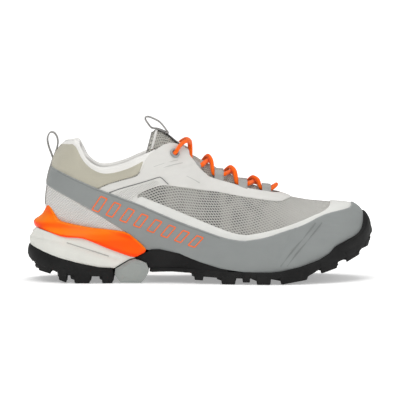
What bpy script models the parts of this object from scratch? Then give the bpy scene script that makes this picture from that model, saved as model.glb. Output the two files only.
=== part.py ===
"""Low-cut hiking shoe for the right foot.

+X runs to the toe, -Y is the outer side, +Y the inner side, +Z is up, and
the sole stands on z = 0.  Outlines are in millimetres and made metres when a
mesh is built.  The upper is a set of layers, all offsets of one last surface.
"""
import math

import bmesh
import bpy
from mathutils import Vector

MM = 0.001
GAP = 0.3

# Layers of the upper, as distances from the last surface, outer side first.
FILM_TOP = (1.9, 1.2)
FILM_LOW = (0.9, 0.3)
KNIT = (0.0, -0.9)
STIFFENER = (-1.2, -2.2)
LINING = (-2.5, -3.4)
FOAM = (-1.3, -8.0)
COLLAR_LINING = (-8.3, -9.2)
INSIDE = -3.8
OUTSIDE = 2.2

# Mesh density.
STATIONS = 44
ROWS = 6

# Where the quarters end and the vamp begins, and how far cutters reach sideways and up.
QUARTER_END = 60.0
VAMP_START = 60.4
SIDE_REACH = 90.0
BACK_REACH = -160.0
FRONT_REACH = 160.0
UP_REACH = 140.0
MIDDLE_GAP = 0.2
LINING_FLOOR = 20.0

# Lower edge of the upper, seen from above: heel centre, outer side, toe.
LOW_HEEL = (-131.0, 0.0)
LOW_OUTER = [
    (-128.0, -12.5), (-119.5, -23.5), (-106.0, -30.0), (-90.0, -32.0), (-72.0, -32.5),
    (-54.0, -33.0), (-38.0, -34.5), (-22.0, -37.0), (-7.0, -40.0), (10.0, -43.5),
    (28.0, -47.0), (46.0, -49.0), (64.0, -49.0), (82.0, -46.0), (99.0, -39.0),
    (115.0, -29.5), (128.0, -18.5), (137.5, -6.0),
]
LOW_TOE = (141.0, 8.0)
LOW_INNER_Y = [
    12.5, 23.5, 29.5, 31.0, 31.0, 29.5, 28.5, 29.5, 32.5, 37.0,
    41.5, 46.0, 49.0, 49.8, 47.0, 41.0, 33.0, 22.0,
]
# Height of that edge along the shoe.
FEATHER = [
    (-132.0, 36.0), (-92.0, 36.0), (-70.0, 34.0), (-55.0, 31.0), (-44.0, 28.5), (-34.0, 29.0),
    (-17.0, 25.6), (0.0, 18.6), (17.0, 13.4), (43.0, 10.0), (61.0, 10.0), (87.0, 14.3),
    (104.0, 18.0), (120.0, 23.5), (132.0, 28.0), (143.0, 31.0),
]
# Upper rail: the topline round the ankle, then the ridge over the instep.
TOP_HEEL = (-119.0, 0.0, 117.6)
TOP_OUTER = [
    (-117.5, -9.0, 118.0), (-112.5, -17.0, 118.3), (-105.0, -22.5, 117.4),
    (-96.3, -26.0, 103.5), (-84.0, -28.0, 96.5), (-66.0, -28.8, 99.3), (-46.0, -27.5, 108.2),
    (-27.0, -22.5, 118.6), (-10.0, -12.5, 112.7), (8.0, 0.0, 102.0), (26.0, 0.0, 92.5),
    (44.0, 0.0, 84.5), (60.0, 0.0, 78.5), (76.0, 0.5, 72.3), (90.0, 1.0, 69.1),
    (102.0, 2.0, 67.6), (111.0, 3.0, 66.6), (117.0, 3.5, 66.1),
]
TOP_TOE = (119.0, 3.7, 66.0)
SPINE_FROM = 6.0
# How the wall leaves the lower edge and reaches the upper rail, along the shoe.
LOW_BULGE = [(-132, 5.5), (-110, 2.5), (-60, 1.5), (0, 1.0), (45, 1.5), (90, 2.5), (125, 5.0), (143, 6.5)]
LOW_REACH = [(-132, 32), (-100, 30), (-60, 28), (-25, 34), (0, 40), (45, 40), (90, 34), (125, 24), (143, 21)]
TOP_SPREAD = [(-132, 1.0), (-60, 1.0), (-25, 0.75), (0, 0.45), (45, 0.42), (90, 0.62), (125, 0.85), (143, 0.93)]
TOP_LIFT = [(-132, -21), (-60, -18), (-25, -16), (0, -6), (45, -1), (90, 1), (143, 2)]

# Sole seen from above, outer side then inner side, from the heel.
SOLE_OUTER = [
    (-149.5, 0.0), (-146.0, -16.0), (-136.0, -29.5), (-118.0, -38.5), (-96.0, -42.0),
    (-70.0, -40.0), (-45.0, -39.0), (-15.0, -42.0), (18.0, -49.5), (45.0, -54.0),
    (66.0, -55.0), (88.0, -50.5), (108.0, -41.5), (126.0, -29.0), (141.0, -13.0), (149.6, 7.0),
]
SOLE_INNER = [
    (147.5, 20.0), (139.0, 33.0), (124.0, 43.5), (108.0, 50.5), (88.0, 54.5), (66.0, 55.0),
    (45.0, 51.0), (18.0, 42.5), (-15.0, 35.0), (-45.0, 34.0), (-70.0, 38.0), (-96.0, 42.0),
    (-118.0, 38.5), (-136.0, 29.5), (-146.0, 16.0),
]

# Side outlines of the sole parts, as (x, z).
OUTSOLE_HEEL = [
    (-147.4, 30.8), (-138.7, 27.0), (-130.0, 24.0), (-121.4, 21.2), (-104.0, 16.9), (-86.7, 13.4),
    (-73.5, 12.4), (-74.1, 7.8), (-72.8, 5.0), (-74.5, 0.0), (-83.0, 0.0), (-85.0, 4.5),
    (-92.0, 4.5), (-94.0, 0.0), (-108.0, 0.0), (-110.0, 4.5), (-113.0, 4.5), (-114.5, 0.4),
    (-118.0, 1.0), (-121.0, 3.5), (-123.0, 9.0), (-127.0, 7.5), (-131.0, 8.5), (-134.0, 7.5),
    (-139.5, 10.5), (-141.0, 14.0), (-146.5, 17.0), (-149.6, 22.1), (-149.9, 25.6), (-149.1, 29.1),
]
MIDSOLE_HEEL = [
    (-147.0, 31.3), (-138.7, 27.5), (-130.0, 24.5), (-121.4, 21.7), (-104.0, 17.4), (-86.7, 13.9),
    (-73.5, 13.0), (-61.0, 20.4), (-55.8, 21.8), (-52.0, 28.0), (-62.0, 40.0), (-78.0, 43.0),
    (-112.0, 47.0), (-141.0, 46.0), (-144.8, 42.0), (-147.4, 37.0), (-147.8, 33.0),
]
HEEL_FRAME = [
    (-132.5, 67.0), (-136.1, 62.5), (-138.5, 54.5), (-142.6, 52.0), (-141.2, 46.5), (-130.0, 43.5),
    (-117.0, 39.4), (-102.3, 39.0), (-95.4, 37.0), (-78.0, 29.5), (-60.7, 23.2), (-55.4, 22.2),
    (-44.8, 27.7), (-52.0, 35.1), (-62.4, 43.8), (-78.0, 46.0), (-95.4, 47.7), (-119.6, 52.0),
    (-124.0, 54.0), (-130.0, 63.0),
]
ARCH_INSERT = [
    (-56.2, 20.9), (-60.7, 19.5), (-72.4, 12.4), (-73.1, 7.8), (-71.8, 5.0), (-68.5, 0.8),
    (-50.3, 0.5), (-46.8, 4.3), (-44.1, 9.4), (-44.1, 12.8), (-46.0, 17.2), (-50.3, 19.3),
]
MIDSOLE_FRONT = [
    (-43.5, 13.0), (-20.0, 13.9), (0.0, 12.4), (20.0, 10.1), (24.0, 10.1), (24.0, 12.0),
    (17.3, 13.4), (0.0, 18.6), (-17.3, 25.6), (-34.7, 29.2), (-42.0, 28.9), (-44.3, 27.3),
    (-55.0, 21.6), (-50.0, 20.0), (-45.6, 17.6), (-43.6, 14.2),
]
OUTSOLE_FRONT = [
    (-43.4, 12.5), (-20.0, 13.5), (0.0, 12.0), (20.0, 9.7), (24.4, 9.7), (24.4, 11.7), (43.0, 10.0),
    (61.0, 10.0), (69.4, 10.8), (86.7, 14.3), (104.0, 19.3), (112.7, 24.5), (118.0, 30.5),
    (131.8, 37.0), (138.7, 39.0), (143.0, 41.0), (143.6, 50.0), (143.6, 59.3), (146.5, 57.0),
    (148.3, 52.0), (149.5, 45.5), (149.6, 39.5), (149.0, 35.5), (147.0, 32.0), (143.9, 29.0),
    (138.7, 28.0), (138.0, 22.5), (131.8, 18.8), (125.3, 17.0), (121.0, 18.0), (118.3, 12.5),
    (112.7, 9.5), (108.4, 8.0), (101.4, 11.0), (95.4, 8.5), (93.0, 4.5), (89.3, 2.6), (87.0, 0.0),
    (68.0, 0.0), (66.5, 4.5), (62.0, 4.5), (60.5, 0.0), (48.0, 0.0), (46.5, 4.5), (32.0, 4.5),
    (30.5, 0.0), (18.2, 0.0), (17.3, 4.3), (5.2, 5.2), (2.6, 3.0), (-2.6, 3.5), (-5.2, 6.1),
    (-6.1, 10.0), (-25.0, 10.0), (-43.4, 9.4),
]
# Under side of the insole board along the shoe.
FLOOR = [
    (-128.0, 37.0), (-90.0, 37.0), (-60.0, 33.8), (-34.0, 31.2), (0.0, 26.0), (30.0, 22.5),
    (60.0, 20.5), (100.0, 22.3), (125.0, 28.0), (140.0, 34.0),
]
BOARD_STATIONS = [
    -123.0, -110.0, -90.0, -60.0, -40.0, -34.0, -17.0, 0.0, 15.0, 24.8, 43.0, 61.0, 87.0, 104.0,
    120.0, 132.0, 134.0,
]
BOARD_THICK = 1.5
FOOTBED_THICK = 4.2

# Side outlines of the panels of the upper, as (x, z).
COLLAR_COVER = [
    (-150.0, 101.0), (-121.4, 93.5), (-104.0, 85.7), (-89.3, 79.5), (-82.4, 83.5), (-69.4, 87.7),
    (-56.4, 91.2), (-52.9, 93.4), (-51.0, 97.0), (-46.8, 107.0), (-46.8, 130.0), (-150.0, 130.0),
]
HEEL_PANEL = [
    (-150.0, 30.0), (-44.0, 30.0), (-50.0, 38.0), (-58.0, 46.0), (-69.4, 53.0), (-86.7, 64.0),
    (-104.0, 74.0), (-121.4, 84.0), (-150.0, 93.0),
]
EYESTAY = [
    (-92.0, 77.5), (-82.4, 82.9), (-69.4, 87.1), (-56.0, 90.5), (-52.2, 93.0), (-50.3, 96.8),
    (-46.2, 106.5), (-46.2, 130.0), (30.0, 130.0), (79.5, 90.0), (79.5, 68.6), (60.7, 69.3),
    (34.7, 73.4), (17.3, 77.0), (0.0, 79.4), (-17.3, 82.2), (-32.1, 84.0), (-43.4, 80.5),
    (-52.0, 76.2), (-55.0, 73.0), (-60.0, 67.0), (-70.0, 69.5),
]
TRIM = [
    (-51.6, 74.8), (-43.4, 71.4), (-26.0, 64.6), (-8.7, 57.5), (8.7, 50.2), (26.0, 43.8),
    (34.7, 42.0), (40.7, 41.6), (52.0, 43.4), (69.4, 47.4), (86.7, 53.0), (95.4, 56.5),
    (104.0, 59.5), (109.0, 62.0), (113.0, 66.0), (113.0, 80.0), (133.0, 80.0), (133.0, 63.0),
    (121.0, 57.5), (104.0, 53.0), (86.7, 46.0), (69.4, 41.0), (53.8, 36.0), (34.7, 34.0),
    (17.3, 37.3), (0.0, 43.4), (-17.3, 49.8), (-34.7, 57.4), (-52.0, 64.6), (-59.2, 66.4),
]
BAND = [
    (-150.0, 108.5), (-127.4, 98.5), (-104.0, 87.9), (-89.3, 81.2), (-69.4, 74.0), (-52.0, 67.6),
    (-17.3, 52.7), (0.0, 46.4), (17.3, 40.3), (26.0, 38.1), (34.7, 36.8), (40.7, 36.8),
    (53.8, 39.0), (69.4, 43.6), (86.7, 48.8), (104.0, 56.4), (112.7, 59.0), (121.4, 60.5),
    (129.2, 61.8), (130.8, 65.0), (130.8, 80.0), (155.0, 80.0), (155.0, 2.0), (-46.0, 2.0),
    (-46.0, 29.7), (-58.1, 39.9), (-69.4, 47.3), (-86.7, 58.1), (-104.0, 68.1), (-121.4, 77.5),
    (-150.0, 90.0),
]
LINING_SIDE = [
    (-150.0, 38.0), (-150.0, 80.0), (-52.0, 80.0), (-46.0, 92.0), (-46.0, 130.0), (60.0, 130.0),
    (60.0, 21.5), (0.0, 26.5), (-34.0, 31.7), (-62.0, 38.0),
]
FOAM_SIDE = [(-150.0, 80.4), (-52.3, 80.4), (-46.6, 92.4), (-46.6, 130.0), (-150.0, 130.0)]
COUNTER_SIDE = [(-150.0, 38.0), (-150.0, 79.0), (-110.0, 79.0), (-78.0, 55.0), (-78.0, 38.0)]
PUFF_SIDE = [(108.0, 28.0), (116.0, 80.0), (155.0, 80.0), (155.0, 28.0)]

# Throat of the lacing seen from above, half width along the shoe.
THROAT = [
    (-60.0, 10.0), (-10.2, 12.0), (-9.2, 18.7), (20.0, 17.0), (40.0, 16.0), (55.0, 14.0),
    (61.0, 12.6), (66.0, 9.0), (71.0, 0.0),
]

# Tongue: ridge height, half width and how far its sides drop.
TONGUE_RIDGE = [
    (-46.0, 129.0), (-42.5, 129.6), (-38.0, 129.4), (-30.0, 126.3), (-21.7, 119.5), (-8.7, 109.0),
    (5.0, 101.5), (21.7, 92.8), (41.6, 83.8), (60.7, 75.5), (72.0, 67.0),
]
TONGUE_HALF = [(-46.0, 14.0), (-22.0, 15.5), (0.0, 22.0), (30.0, 20.0), (60.0, 15.0), (72.0, 12.0)]
TONGUE_DROP = [(-46.0, 20.0), (-22.0, 25.0), (0.0, 36.0), (30.0, 29.0), (60.0, 13.0), (72.0, 7.0)]
TONGUE_REAR = -44.0
TONGUE_FRONT = 72.0
TONGUE_SPLIT = -22.0
TONGUE_THICK = 4.0
FLAP_THICK = 5.5

# Lacing: rows of webbing loops at the throat, as (x, half width, z), and the top eyelet.
LACE_RADIUS = 1.75
LOOP_ROWS = [(-3.0, 14.2, 99.8), (16.5, 13.2, 91.9), (37.0, 12.2, 83.6), (57.5, 8.0, 79.0)]
LOOP_HOLE = 2.6
LOOP_WIDTH = 6.0
WEBBING = 0.9
CROSS_X = [-8.7, 7.4, 26.8, 46.6]
CROSS_Z = [114.2, 102.8, 93.2, 84.4]
STRAND_STEP = 3.8
BAR = (66.0, 0.0, 82.0)
EYELET = (-22.1, 110.5)
EYELET_HOLE = 3.1
# Lace from the back of the eyelet to its tucked end, on the inner side of the shoe.
LACE_TAIL = [(-27.0, 18.3, 104.5), (-36.0, 17.6, 98.0), (-46.0, 16.6, 92.0), (-53.0, 16.0, 87.5)]
AGLET_LENGTH = 16.0

# Pull loops: closed middle lines in side view.
RIBBON = 1.4
HEEL_LOOP = [
    (-126.9, 104.8), (-125.4, 109.5), (-123.7, 114.5), (-123.0, 119.0), (-123.6, 123.0), (-125.4, 126.2),
    (-127.6, 127.6), (-129.9, 127.0), (-131.6, 124.0), (-132.0, 120.3), (-130.9, 115.0), (-129.0, 109.8),
]
HEEL_LOOP_HALF = 4.5
TONGUE_LOOP = [
    (-41.8, 131.3), (-45.0, 135.0), (-47.0, 138.0), (-47.2, 140.3), (-44.3, 140.8), (-40.0, 139.2),
    (-35.8, 137.0), (-32.5, 133.8), (-29.5, 129.8), (-27.4, 126.7), (-31.0, 128.3), (-36.5, 130.4),
]
TONGUE_LOOP_HALF = 5.0
HEEL_TAB = (2.2, 3.4)
HEEL_TAB_SIDE = [(-150.0, 76.0), (-100.0, 76.0), (-100.0, 103.6), (-150.0, 103.6)]
BINDING_END = -46.0


def curve_points(points, per_span, closed=False):
    """Points of a smooth curve through the given ones."""
    count = len(points)
    spans = count if closed else count - 1
    found = []
    for span in range(spans):
        for step in range(per_span):
            found.append(on_curve(points, span + step / per_span, closed))
    if not closed:
        found.append(on_curve(points, float(spans), closed))
    return found


def on_curve(points, place, closed=False):
    """Catmull-Rom point at a place counted in control points."""
    count = len(points)
    last = count if closed else count - 1
    first = min(int(place), last - 1)
    t = place - first

    def pick(i):
        return points[i % count] if closed else points[min(max(i, 0), count - 1)]

    a, b, c, d = (pick(first + k) for k in (-1, 0, 1, 2))
    return tuple(
        0.5 * (2 * q + (r - p) * t + (2 * p - 5 * q + 4 * r - s) * t * t + (3 * q - p - 3 * r + s) * t ** 3)
        for p, q, r, s in zip(a, b, c, d)
    )


def at(table, x):
    """Value at x of a line drawn through (x, value) points."""
    if x <= table[0][0]:
        return table[0][1]
    for (xa, va), (xb, vb) in zip(table, table[1:]):
        if x <= xb:
            return va + (vb - va) * (x - xa) / (xb - xa)
    return table[-1][1]


def material(name, colour, roughness):
    """A plain Principled material, made once for each name."""
    found = bpy.data.materials.get(name)
    if found:
        return found
    made = bpy.data.materials.new(name)
    made.use_nodes = True
    shader = made.node_tree.nodes["Principled BSDF"]
    shader.inputs["Base Color"].default_value = (*colour, 1.0)
    shader.inputs["Roughness"].default_value = roughness
    made.diffuse_color = (*colour, 1.0)
    return made


FINISHES = {
    "rubber": ((0.02, 0.02, 0.02), 0.75),
    "black_foam": ((0.013, 0.013, 0.013), 0.8),
    "white_foam": ((0.68, 0.68, 0.63), 0.7),
    "orange_frame": ((0.95, 0.09, 0.003), 0.35),
    "grey_rubber": ((0.28, 0.3, 0.29), 0.55),
    "board": ((0.5, 0.46, 0.38), 0.9),
    "footbed": ((0.2, 0.2, 0.2), 0.9),
    "stiffener": ((0.3, 0.3, 0.28), 0.8),
    "knit": ((0.36, 0.355, 0.33), 0.9),
    "white_film": ((0.65, 0.64, 0.6), 0.6),
    "grey_film": ((0.235, 0.25, 0.247), 0.5),
    "khaki": ((0.405, 0.385, 0.3), 0.9),
    "lining": ((0.73, 0.72, 0.69), 0.95),
    "foam": ((0.6, 0.6, 0.5), 0.95),
    "tongue_knit": ((0.4, 0.4, 0.36), 0.9),
    "webbing": ((0.22, 0.21, 0.205), 0.85),
    "lace": ((0.9, 0.15, 0.02), 0.8),
    "aglet": ((0.5, 0.5, 0.5), 0.2),
}


def new_object(name, mesh_data, finish):
    """Link a mesh as a named object with its finish."""
    made = bpy.data.objects.new(name, mesh_data)
    bpy.context.scene.collection.objects.link(made)
    colour, roughness = FINISHES[finish]
    mesh_data.materials.append(material(finish, colour, roughness))
    return made


def mesh_from(name, points, faces, outward=False):
    """Mesh from points in millimetres; outward has its faces turned out."""
    work = bmesh.new()
    verts = [work.verts.new(Vector(p) * MM) for p in points]
    for face in faces:
        work.faces.new([verts[i] for i in face])
    if outward:
        bmesh.ops.recalc_face_normals(work, faces=work.faces)
    made = bpy.data.meshes.new(name)
    work.to_mesh(made)
    work.free()
    return made


def cutter(name, mesh_data):
    """A hidden body for Booleans, which isn't part of the shoe."""
    made = bpy.data.objects.new(name, mesh_data)
    bpy.context.scene.collection.objects.link(made)
    made.display_type = "WIRE"
    made.hide_render = True
    return made


def trim(target, operation, *tools):
    """Leave Boolean modifiers on the target, in order."""
    for tool in tools:
        step = target.modifiers.new(tool.name, "BOOLEAN")
        step.operation = operation
        step.solver = "EXACT"
        step.object = tool
    return target


# The last surface.

def rails():
    """Closed lower and upper rails with the same number of control points."""
    inner_low = [(x, y) for (x, _), y in zip(LOW_OUTER, LOW_INNER_Y)]
    low = [LOW_HEEL] + LOW_OUTER + [LOW_TOE] + inner_low[::-1]
    spine = [(x, y if x > SPINE_FROM else -y, z) for x, y, z in TOP_OUTER]
    top = [TOP_HEEL] + TOP_OUTER + [TOP_TOE] + spine[::-1]
    return low, top


def last_line(low, top, place):
    """Points up one line of the last surface, from lower edge to upper rail."""
    count = len(low)
    bx, by = on_curve(low, place, True)
    ahead = on_curve(low, (place + 0.05) % count, True)
    behind = on_curve(low, (place - 0.05) % count, True)
    run = Vector((ahead[0] - behind[0], ahead[1] - behind[1], 0.0)).normalized()
    out = Vector((run.y, -run.x, 0.0))
    if out.dot(Vector((bx + 20.0, by, 0.0))) < 0.0:
        out = -out
    base = Vector((bx, by, at(FEATHER, bx)))
    peak = Vector(on_curve(top, place, True))
    if peak.x > SPINE_FROM:
        peak.y = at([(SPINE_FROM, 0.0), (60.0, 0.0), (119.0, 3.7)], peak.x)
    spread = Vector((base.x - peak.x, base.y - peak.y, 0.0)) * at(TOP_SPREAD, bx)
    low_handle = base + out * at(LOW_BULGE, bx) + Vector((0.0, 0.0, at(LOW_REACH, bx)))
    top_handle = peak + spread + Vector((0.0, 0.0, at(TOP_LIFT, bx)))
    line = []
    for row in range(ROWS + 1):
        t = row / ROWS
        s = 1.0 - t
        line.append(
            base * s ** 3 + low_handle * (3 * s * s * t) + top_handle * (3 * s * t * t) + peak * t ** 3
        )
    return line


def last_grid():
    """Welded points, triangles and outward normals of the last surface."""
    low, top = rails()
    count = len(low)
    points, index, rows = [], {}, []
    for station in range(STATIONS):
        row = []
        for p in last_line(low, top, station * count / STATIONS):
            key = (round(p.x, 3), round(p.y, 3), round(p.z, 3))
            if key not in index:
                index[key] = len(points)
                points.append(p)
            row.append(index[key])
        rows.append(row)
    faces = []
    for station in range(STATIONS):
        here, there = rows[station], rows[(station + 1) % STATIONS]
        for k in range(ROWS):
            corners = (here[k], there[k], there[k + 1], here[k + 1])
            for face in ((corners[0], corners[1], corners[2]), (corners[0], corners[2], corners[3])):
                if len(set(face)) == 3:
                    faces.append(face)
    normals = [Vector((0.0, 0.0, 0.0)) for _ in points]
    for a, b, c in faces:
        normal = (points[b] - points[a]).cross(points[c] - points[a])
        for i in (a, b, c):
            normals[i] += normal
    middle = Vector((0.0, 0.0, 40.0))
    probe = rows[STATIONS // 4][0]
    if normals[probe].dot(points[probe] - middle) < 0.0:
        faces = [(a, c, b) for a, b, c in faces]
        normals = [-n for n in normals]
    return points, faces, [n.normalized() for n in normals], rows


GRID = None


def border_edges(faces):
    """Edges used by one face only, in that face's direction."""
    seen = {}
    for face in faces:
        for a, b in zip(face, face[1:] + face[:1]):
            seen[(a, b)] = True
    return [(a, b) for a, b in seen if (b, a) not in seen]


def moved_off(offset):
    """Points of the last surface moved along their normals, each kept on its own side."""
    points, _, normals, _ = GRID
    found = []
    for p, n in zip(points, normals):
        q = p + n * offset
        if abs(p.y) > 0.5 and q.y * p.y < 0.0:
            q.y = math.copysign(0.1, p.y)
        found.append(q)
    return found


def layer_mesh(name, layer):
    """Closed shell of the last surface between two offsets."""
    points, faces, _, _ = GRID
    outer, inner = layer
    count = len(points)
    body = moved_off(outer) + moved_off(inner)
    skin = list(faces)
    skin += [(a + count, c + count, b + count) for a, b, c in faces]
    for a, b in border_edges(faces):
        skin.append((b, a, a + count))
        skin.append((b, a + count, b + count))
    return mesh_from(name, body, skin)


def last_body(name, offset, drop):
    """Cutter filling the last surface at an offset, its floor lowered by drop."""
    _, faces, _, rows = GRID
    body = moved_off(offset)
    for row in rows:
        body[row[0]] = body[row[0]] - Vector((0.0, 0.0, drop))
    skin = list(faces)
    half = STATIONS // 2
    for level in (0, ROWS):
        for station in range(half):
            a = rows[station][level]
            b = rows[station + 1][level]
            c = rows[(STATIONS - station - 1) % STATIONS][level]
            d = rows[(STATIONS - station) % STATIONS][level]
            for face in ((a, c, b), (a, d, c)) if level == 0 else ((a, b, c), (a, c, d)):
                if len(set(face)) == 3:
                    skin.append(face)
    return cutter(name, mesh_from(name, body, skin, outward=True))


# Prisms used for trimming and for the sole.

def side_prism(name, outline, y_from=-SIDE_REACH, y_to=SIDE_REACH):
    """Closed prism of a side outline."""
    count = len(outline)
    points = [(x, y_from, z) for x, z in outline] + [(x, y_to, z) for x, z in outline]
    faces = [tuple(range(count)), tuple(range(2 * count - 1, count - 1, -1))]
    faces += [(i, (i + 1) % count, (i + 1) % count + count, i + count) for i in range(count)]
    return mesh_from(name, points, faces, outward=True)


def plan_prism(name, outline, z_from, z_to):
    """Closed prism of an outline seen from above."""
    count = len(outline)
    points = [(x, y, z_from) for x, y in outline] + [(x, y, z_to) for x, y in outline]
    faces = [tuple(range(count)), tuple(range(2 * count - 1, count - 1, -1))]
    faces += [(i, (i + 1) % count, (i + 1) % count + count, i + count) for i in range(count)]
    return mesh_from(name, points, faces, outward=True)


def sole_plan(inset):
    """Outline of the sole from above, drawn in by inset."""
    loop = curve_points(SOLE_OUTER + SOLE_INNER, 2, closed=True)
    count = len(loop)
    drawn = []
    for i, (x, y) in enumerate(loop):
        run = Vector(loop[(i + 1) % count]) - Vector(loop[i - 1])
        normal = Vector((-run.y, run.x)).normalized()
        drawn.append((x + normal.x * inset, y + normal.y * inset))
    return drawn


def grown(outline, by):
    """Outline moved outward by a distance, corner by corner."""
    area = sum(a[0] * b[1] - b[0] * a[1] for a, b in zip(outline, outline[1:] + outline[:1]))
    turn = 1.0 if area > 0.0 else -1.0
    moved = []
    for before, here, after in zip(outline[-1:] + outline[:-1], outline, outline[1:] + outline[:1]):
        first = (Vector(here) - Vector(before)).normalized()
        second = (Vector(after) - Vector(here)).normalized()
        side_a = Vector((first.y, -first.x)) * turn
        side_b = Vector((second.y, -second.x)) * turn
        bisector = (side_a + side_b).normalized()
        reach = by / max(bisector.dot(side_a), 0.5)
        moved.append((here[0] + bisector.x * reach, here[1] + bisector.y * reach))
    return moved


def throat_cutter():
    """Body that opens the instep for the tongue."""
    xs = [x for x, _ in THROAT[:-1]]
    outer = [(x, -at(THROAT, x)) for x in xs]
    inner = [(x, at(THROAT, x)) for x in reversed(xs)]
    return cutter("throat_cutter", plan_prism("throat_cutter", outer + [(71.0, 0.0)] + inner, 20.0, 160.0))


def side_cutter(name, outline, side=0):
    """Prism cutter on the outer side (-1), the inner side (1) or both (0)."""
    y_from = -SIDE_REACH if side <= 0 else MIDDLE_GAP
    y_to = SIDE_REACH if side >= 0 else -MIDDLE_GAP
    return cutter(name, side_prism(name, outline, y_from, y_to))


SIDES = (("outer", -1), ("inner", 1))


def along_box(x_from, x_to, low):
    """Side outline of everything between two stations."""
    return [(x_from, low), (x_to, low), (x_to, UP_REACH), (x_from, UP_REACH)]


def add_knit(throat):
    """Inner knit of the upper: two quarters and the vamp."""
    for word, side in SIDES:
        name = "quarter_knit_" + word
        quarter = new_object(name, layer_mesh(name, KNIT), "knit")
        half = side_cutter(name + "_half", along_box(BACK_REACH, QUARTER_END, 0.0), side)
        trim(quarter, "INTERSECT", half)
        trim(quarter, "DIFFERENCE", throat, EYELET_TOOLS[side])
    vamp = new_object("vamp_knit", layer_mesh("vamp_knit", KNIT), "knit")
    front = side_cutter("vamp_half", along_box(VAMP_START, FRONT_REACH, 0.0))
    trim(vamp, "INTERSECT", front)
    trim(vamp, "DIFFERENCE", throat)


def add_linings(throat):
    """Linings of the quarters and vamp, stiffeners, and the padded collar."""
    for word, side in SIDES:
        name = "lining_" + word
        lining = new_object(name, layer_mesh(name, LINING), "lining")
        trim(lining, "INTERSECT", side_cutter(name + "_cut", LINING_SIDE, side))
        trim(lining, "DIFFERENCE", throat, EYELET_TOOLS[side])
    name = "vamp_lining"
    lining = new_object(name, layer_mesh(name, LINING), "lining")
    trim(lining, "INTERSECT", side_cutter(name + "_cut", along_box(VAMP_START, FRONT_REACH, LINING_FLOOR)))
    trim(lining, "DIFFERENCE", throat)
    for name, outline in (("heel_counter", COUNTER_SIDE), ("toe_puff", PUFF_SIDE)):
        piece = new_object(name, layer_mesh(name, STIFFENER), "stiffener")
        trim(piece, "INTERSECT", side_cutter(name + "_cut", outline))
    foam = new_object("collar_foam", layer_mesh("collar_foam", FOAM), "foam")
    trim(foam, "INTERSECT", side_cutter("collar_foam_cut", FOAM_SIDE))
    skin = new_object("collar_lining", layer_mesh("collar_lining", COLLAR_LINING), "lining")
    trim(skin, "INTERSECT", side_cutter("collar_lining_cut", FOAM_SIDE))


def add_panels(throat):
    """Films and covers on the outside of the knit."""
    cover = new_object("collar_cover", layer_mesh("collar_cover", FILM_LOW), "khaki")
    trim(cover, "INTERSECT", side_cutter("collar_cover_cut", COLLAR_COVER))
    panel = new_object("heel_panel", layer_mesh("heel_panel", FILM_LOW), "white_film")
    trim(panel, "INTERSECT", side_cutter("heel_panel_cut", HEEL_PANEL))
    border = new_object("toe_trim", layer_mesh("toe_trim", FILM_LOW), "white_film")
    trim(border, "INTERSECT", side_cutter("toe_trim_cut", TRIM))
    for word, side in SIDES:
        name = "eyestay_" + word
        stay = new_object(name, layer_mesh(name, FILM_LOW), "white_film")
        trim(stay, "INTERSECT", side_cutter(name + "_cut", EYESTAY, side))
        trim(stay, "DIFFERENCE", throat, EYELET_TOOLS[side])
        name = "band_" + word
        band = new_object(name, layer_mesh(name, FILM_TOP), "grey_film")
        trim(band, "INTERSECT", side_cutter(name + "_cut", BAND, side))


def add_sole():
    """Outsole in two parts, midsole in two parts, heel frame and arch insert."""
    body = last_body("last_outside", OUTSIDE, GAP)
    inside = last_body("last_inside", INSIDE, 0.0)
    ring = cutter("ring_tool", plan_prism("ring_tool", sole_plan(10.0), -5.0, 90.0))
    plans = {}
    for inset in (0.0, 0.8, 1.5, 2.0):
        name = "plan_%d" % round(inset * 10)
        plans[inset] = cutter(name, plan_prism(name, sole_plan(inset), -5.0, 90.0))

    def block(name, outline, finish, inset):
        piece = new_object(name, side_prism(name, outline), finish)
        trim(piece, "INTERSECT", plans[inset])
        return piece

    trim(block("outsole_heel", OUTSOLE_HEEL, "rubber", 0.0), "DIFFERENCE", body)
    trim(block("outsole_forefoot", OUTSOLE_FRONT, "rubber", 0.0), "DIFFERENCE", body)
    block("arch_insert", ARCH_INSERT, "grey_rubber", 0.8)
    frame = block("heel_frame", HEEL_FRAME, "orange_frame", 0.8)
    trim(frame, "DIFFERENCE", ring, body)
    midsole = block("midsole_heel", MIDSOLE_HEEL, "white_foam", 2.0)
    pocket = cutter("frame_pocket", side_prism("frame_pocket", grown(HEEL_FRAME, GAP)))
    core = cutter("ring_core", plan_prism("ring_core", sole_plan(10.0 + GAP), -5.0, 90.0))
    trim(pocket, "DIFFERENCE", core)
    trim(midsole, "DIFFERENCE", body, pocket)

    front = block("midsole_forefoot", MIDSOLE_FRONT, "black_foam", 1.5)
    trim(front, "DIFFERENCE", body)
    xs = BOARD_STATIONS[4:-1]
    floor = [(x, at(FLOOR, x) - GAP) for x in xs]
    under = [(x, at(FEATHER, x) + (0.1 if x > 24.0 else -2.0)) for x in reversed(xs)]
    fill = cutter("midsole_fill", side_prism("midsole_fill", floor + under))
    trim(fill, "INTERSECT", last_body("last_fill", INSIDE, 3.0))
    trim(front, "UNION", fill)

    xs = BOARD_STATIONS
    for name, low, high, finish in (
        ("insole_board", 0.0, BOARD_THICK, "board"),
        ("footbed", BOARD_THICK + GAP, BOARD_THICK + GAP + FOOTBED_THICK, "footbed"),
    ):
        outline = [(x, at(FLOOR, x) + low) for x in xs] + [(x, at(FLOOR, x) + high) for x in reversed(xs)]
        piece = new_object(name, side_prism(name, outline), finish)
        trim(piece, "INTERSECT", inside)


def tongue_point(x, fraction, depth):
    """Point on the tongue: fraction -1 to 1 across, depth below its top."""
    half = at(TONGUE_HALF, x)
    height = at(TONGUE_RIDGE, x) - at(TONGUE_DROP, x) * abs(fraction) ** 2.1
    lean = 0.45 * depth
    return (x - lean, fraction * (half - 0.35 * depth), height - 0.9 * depth)


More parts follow.
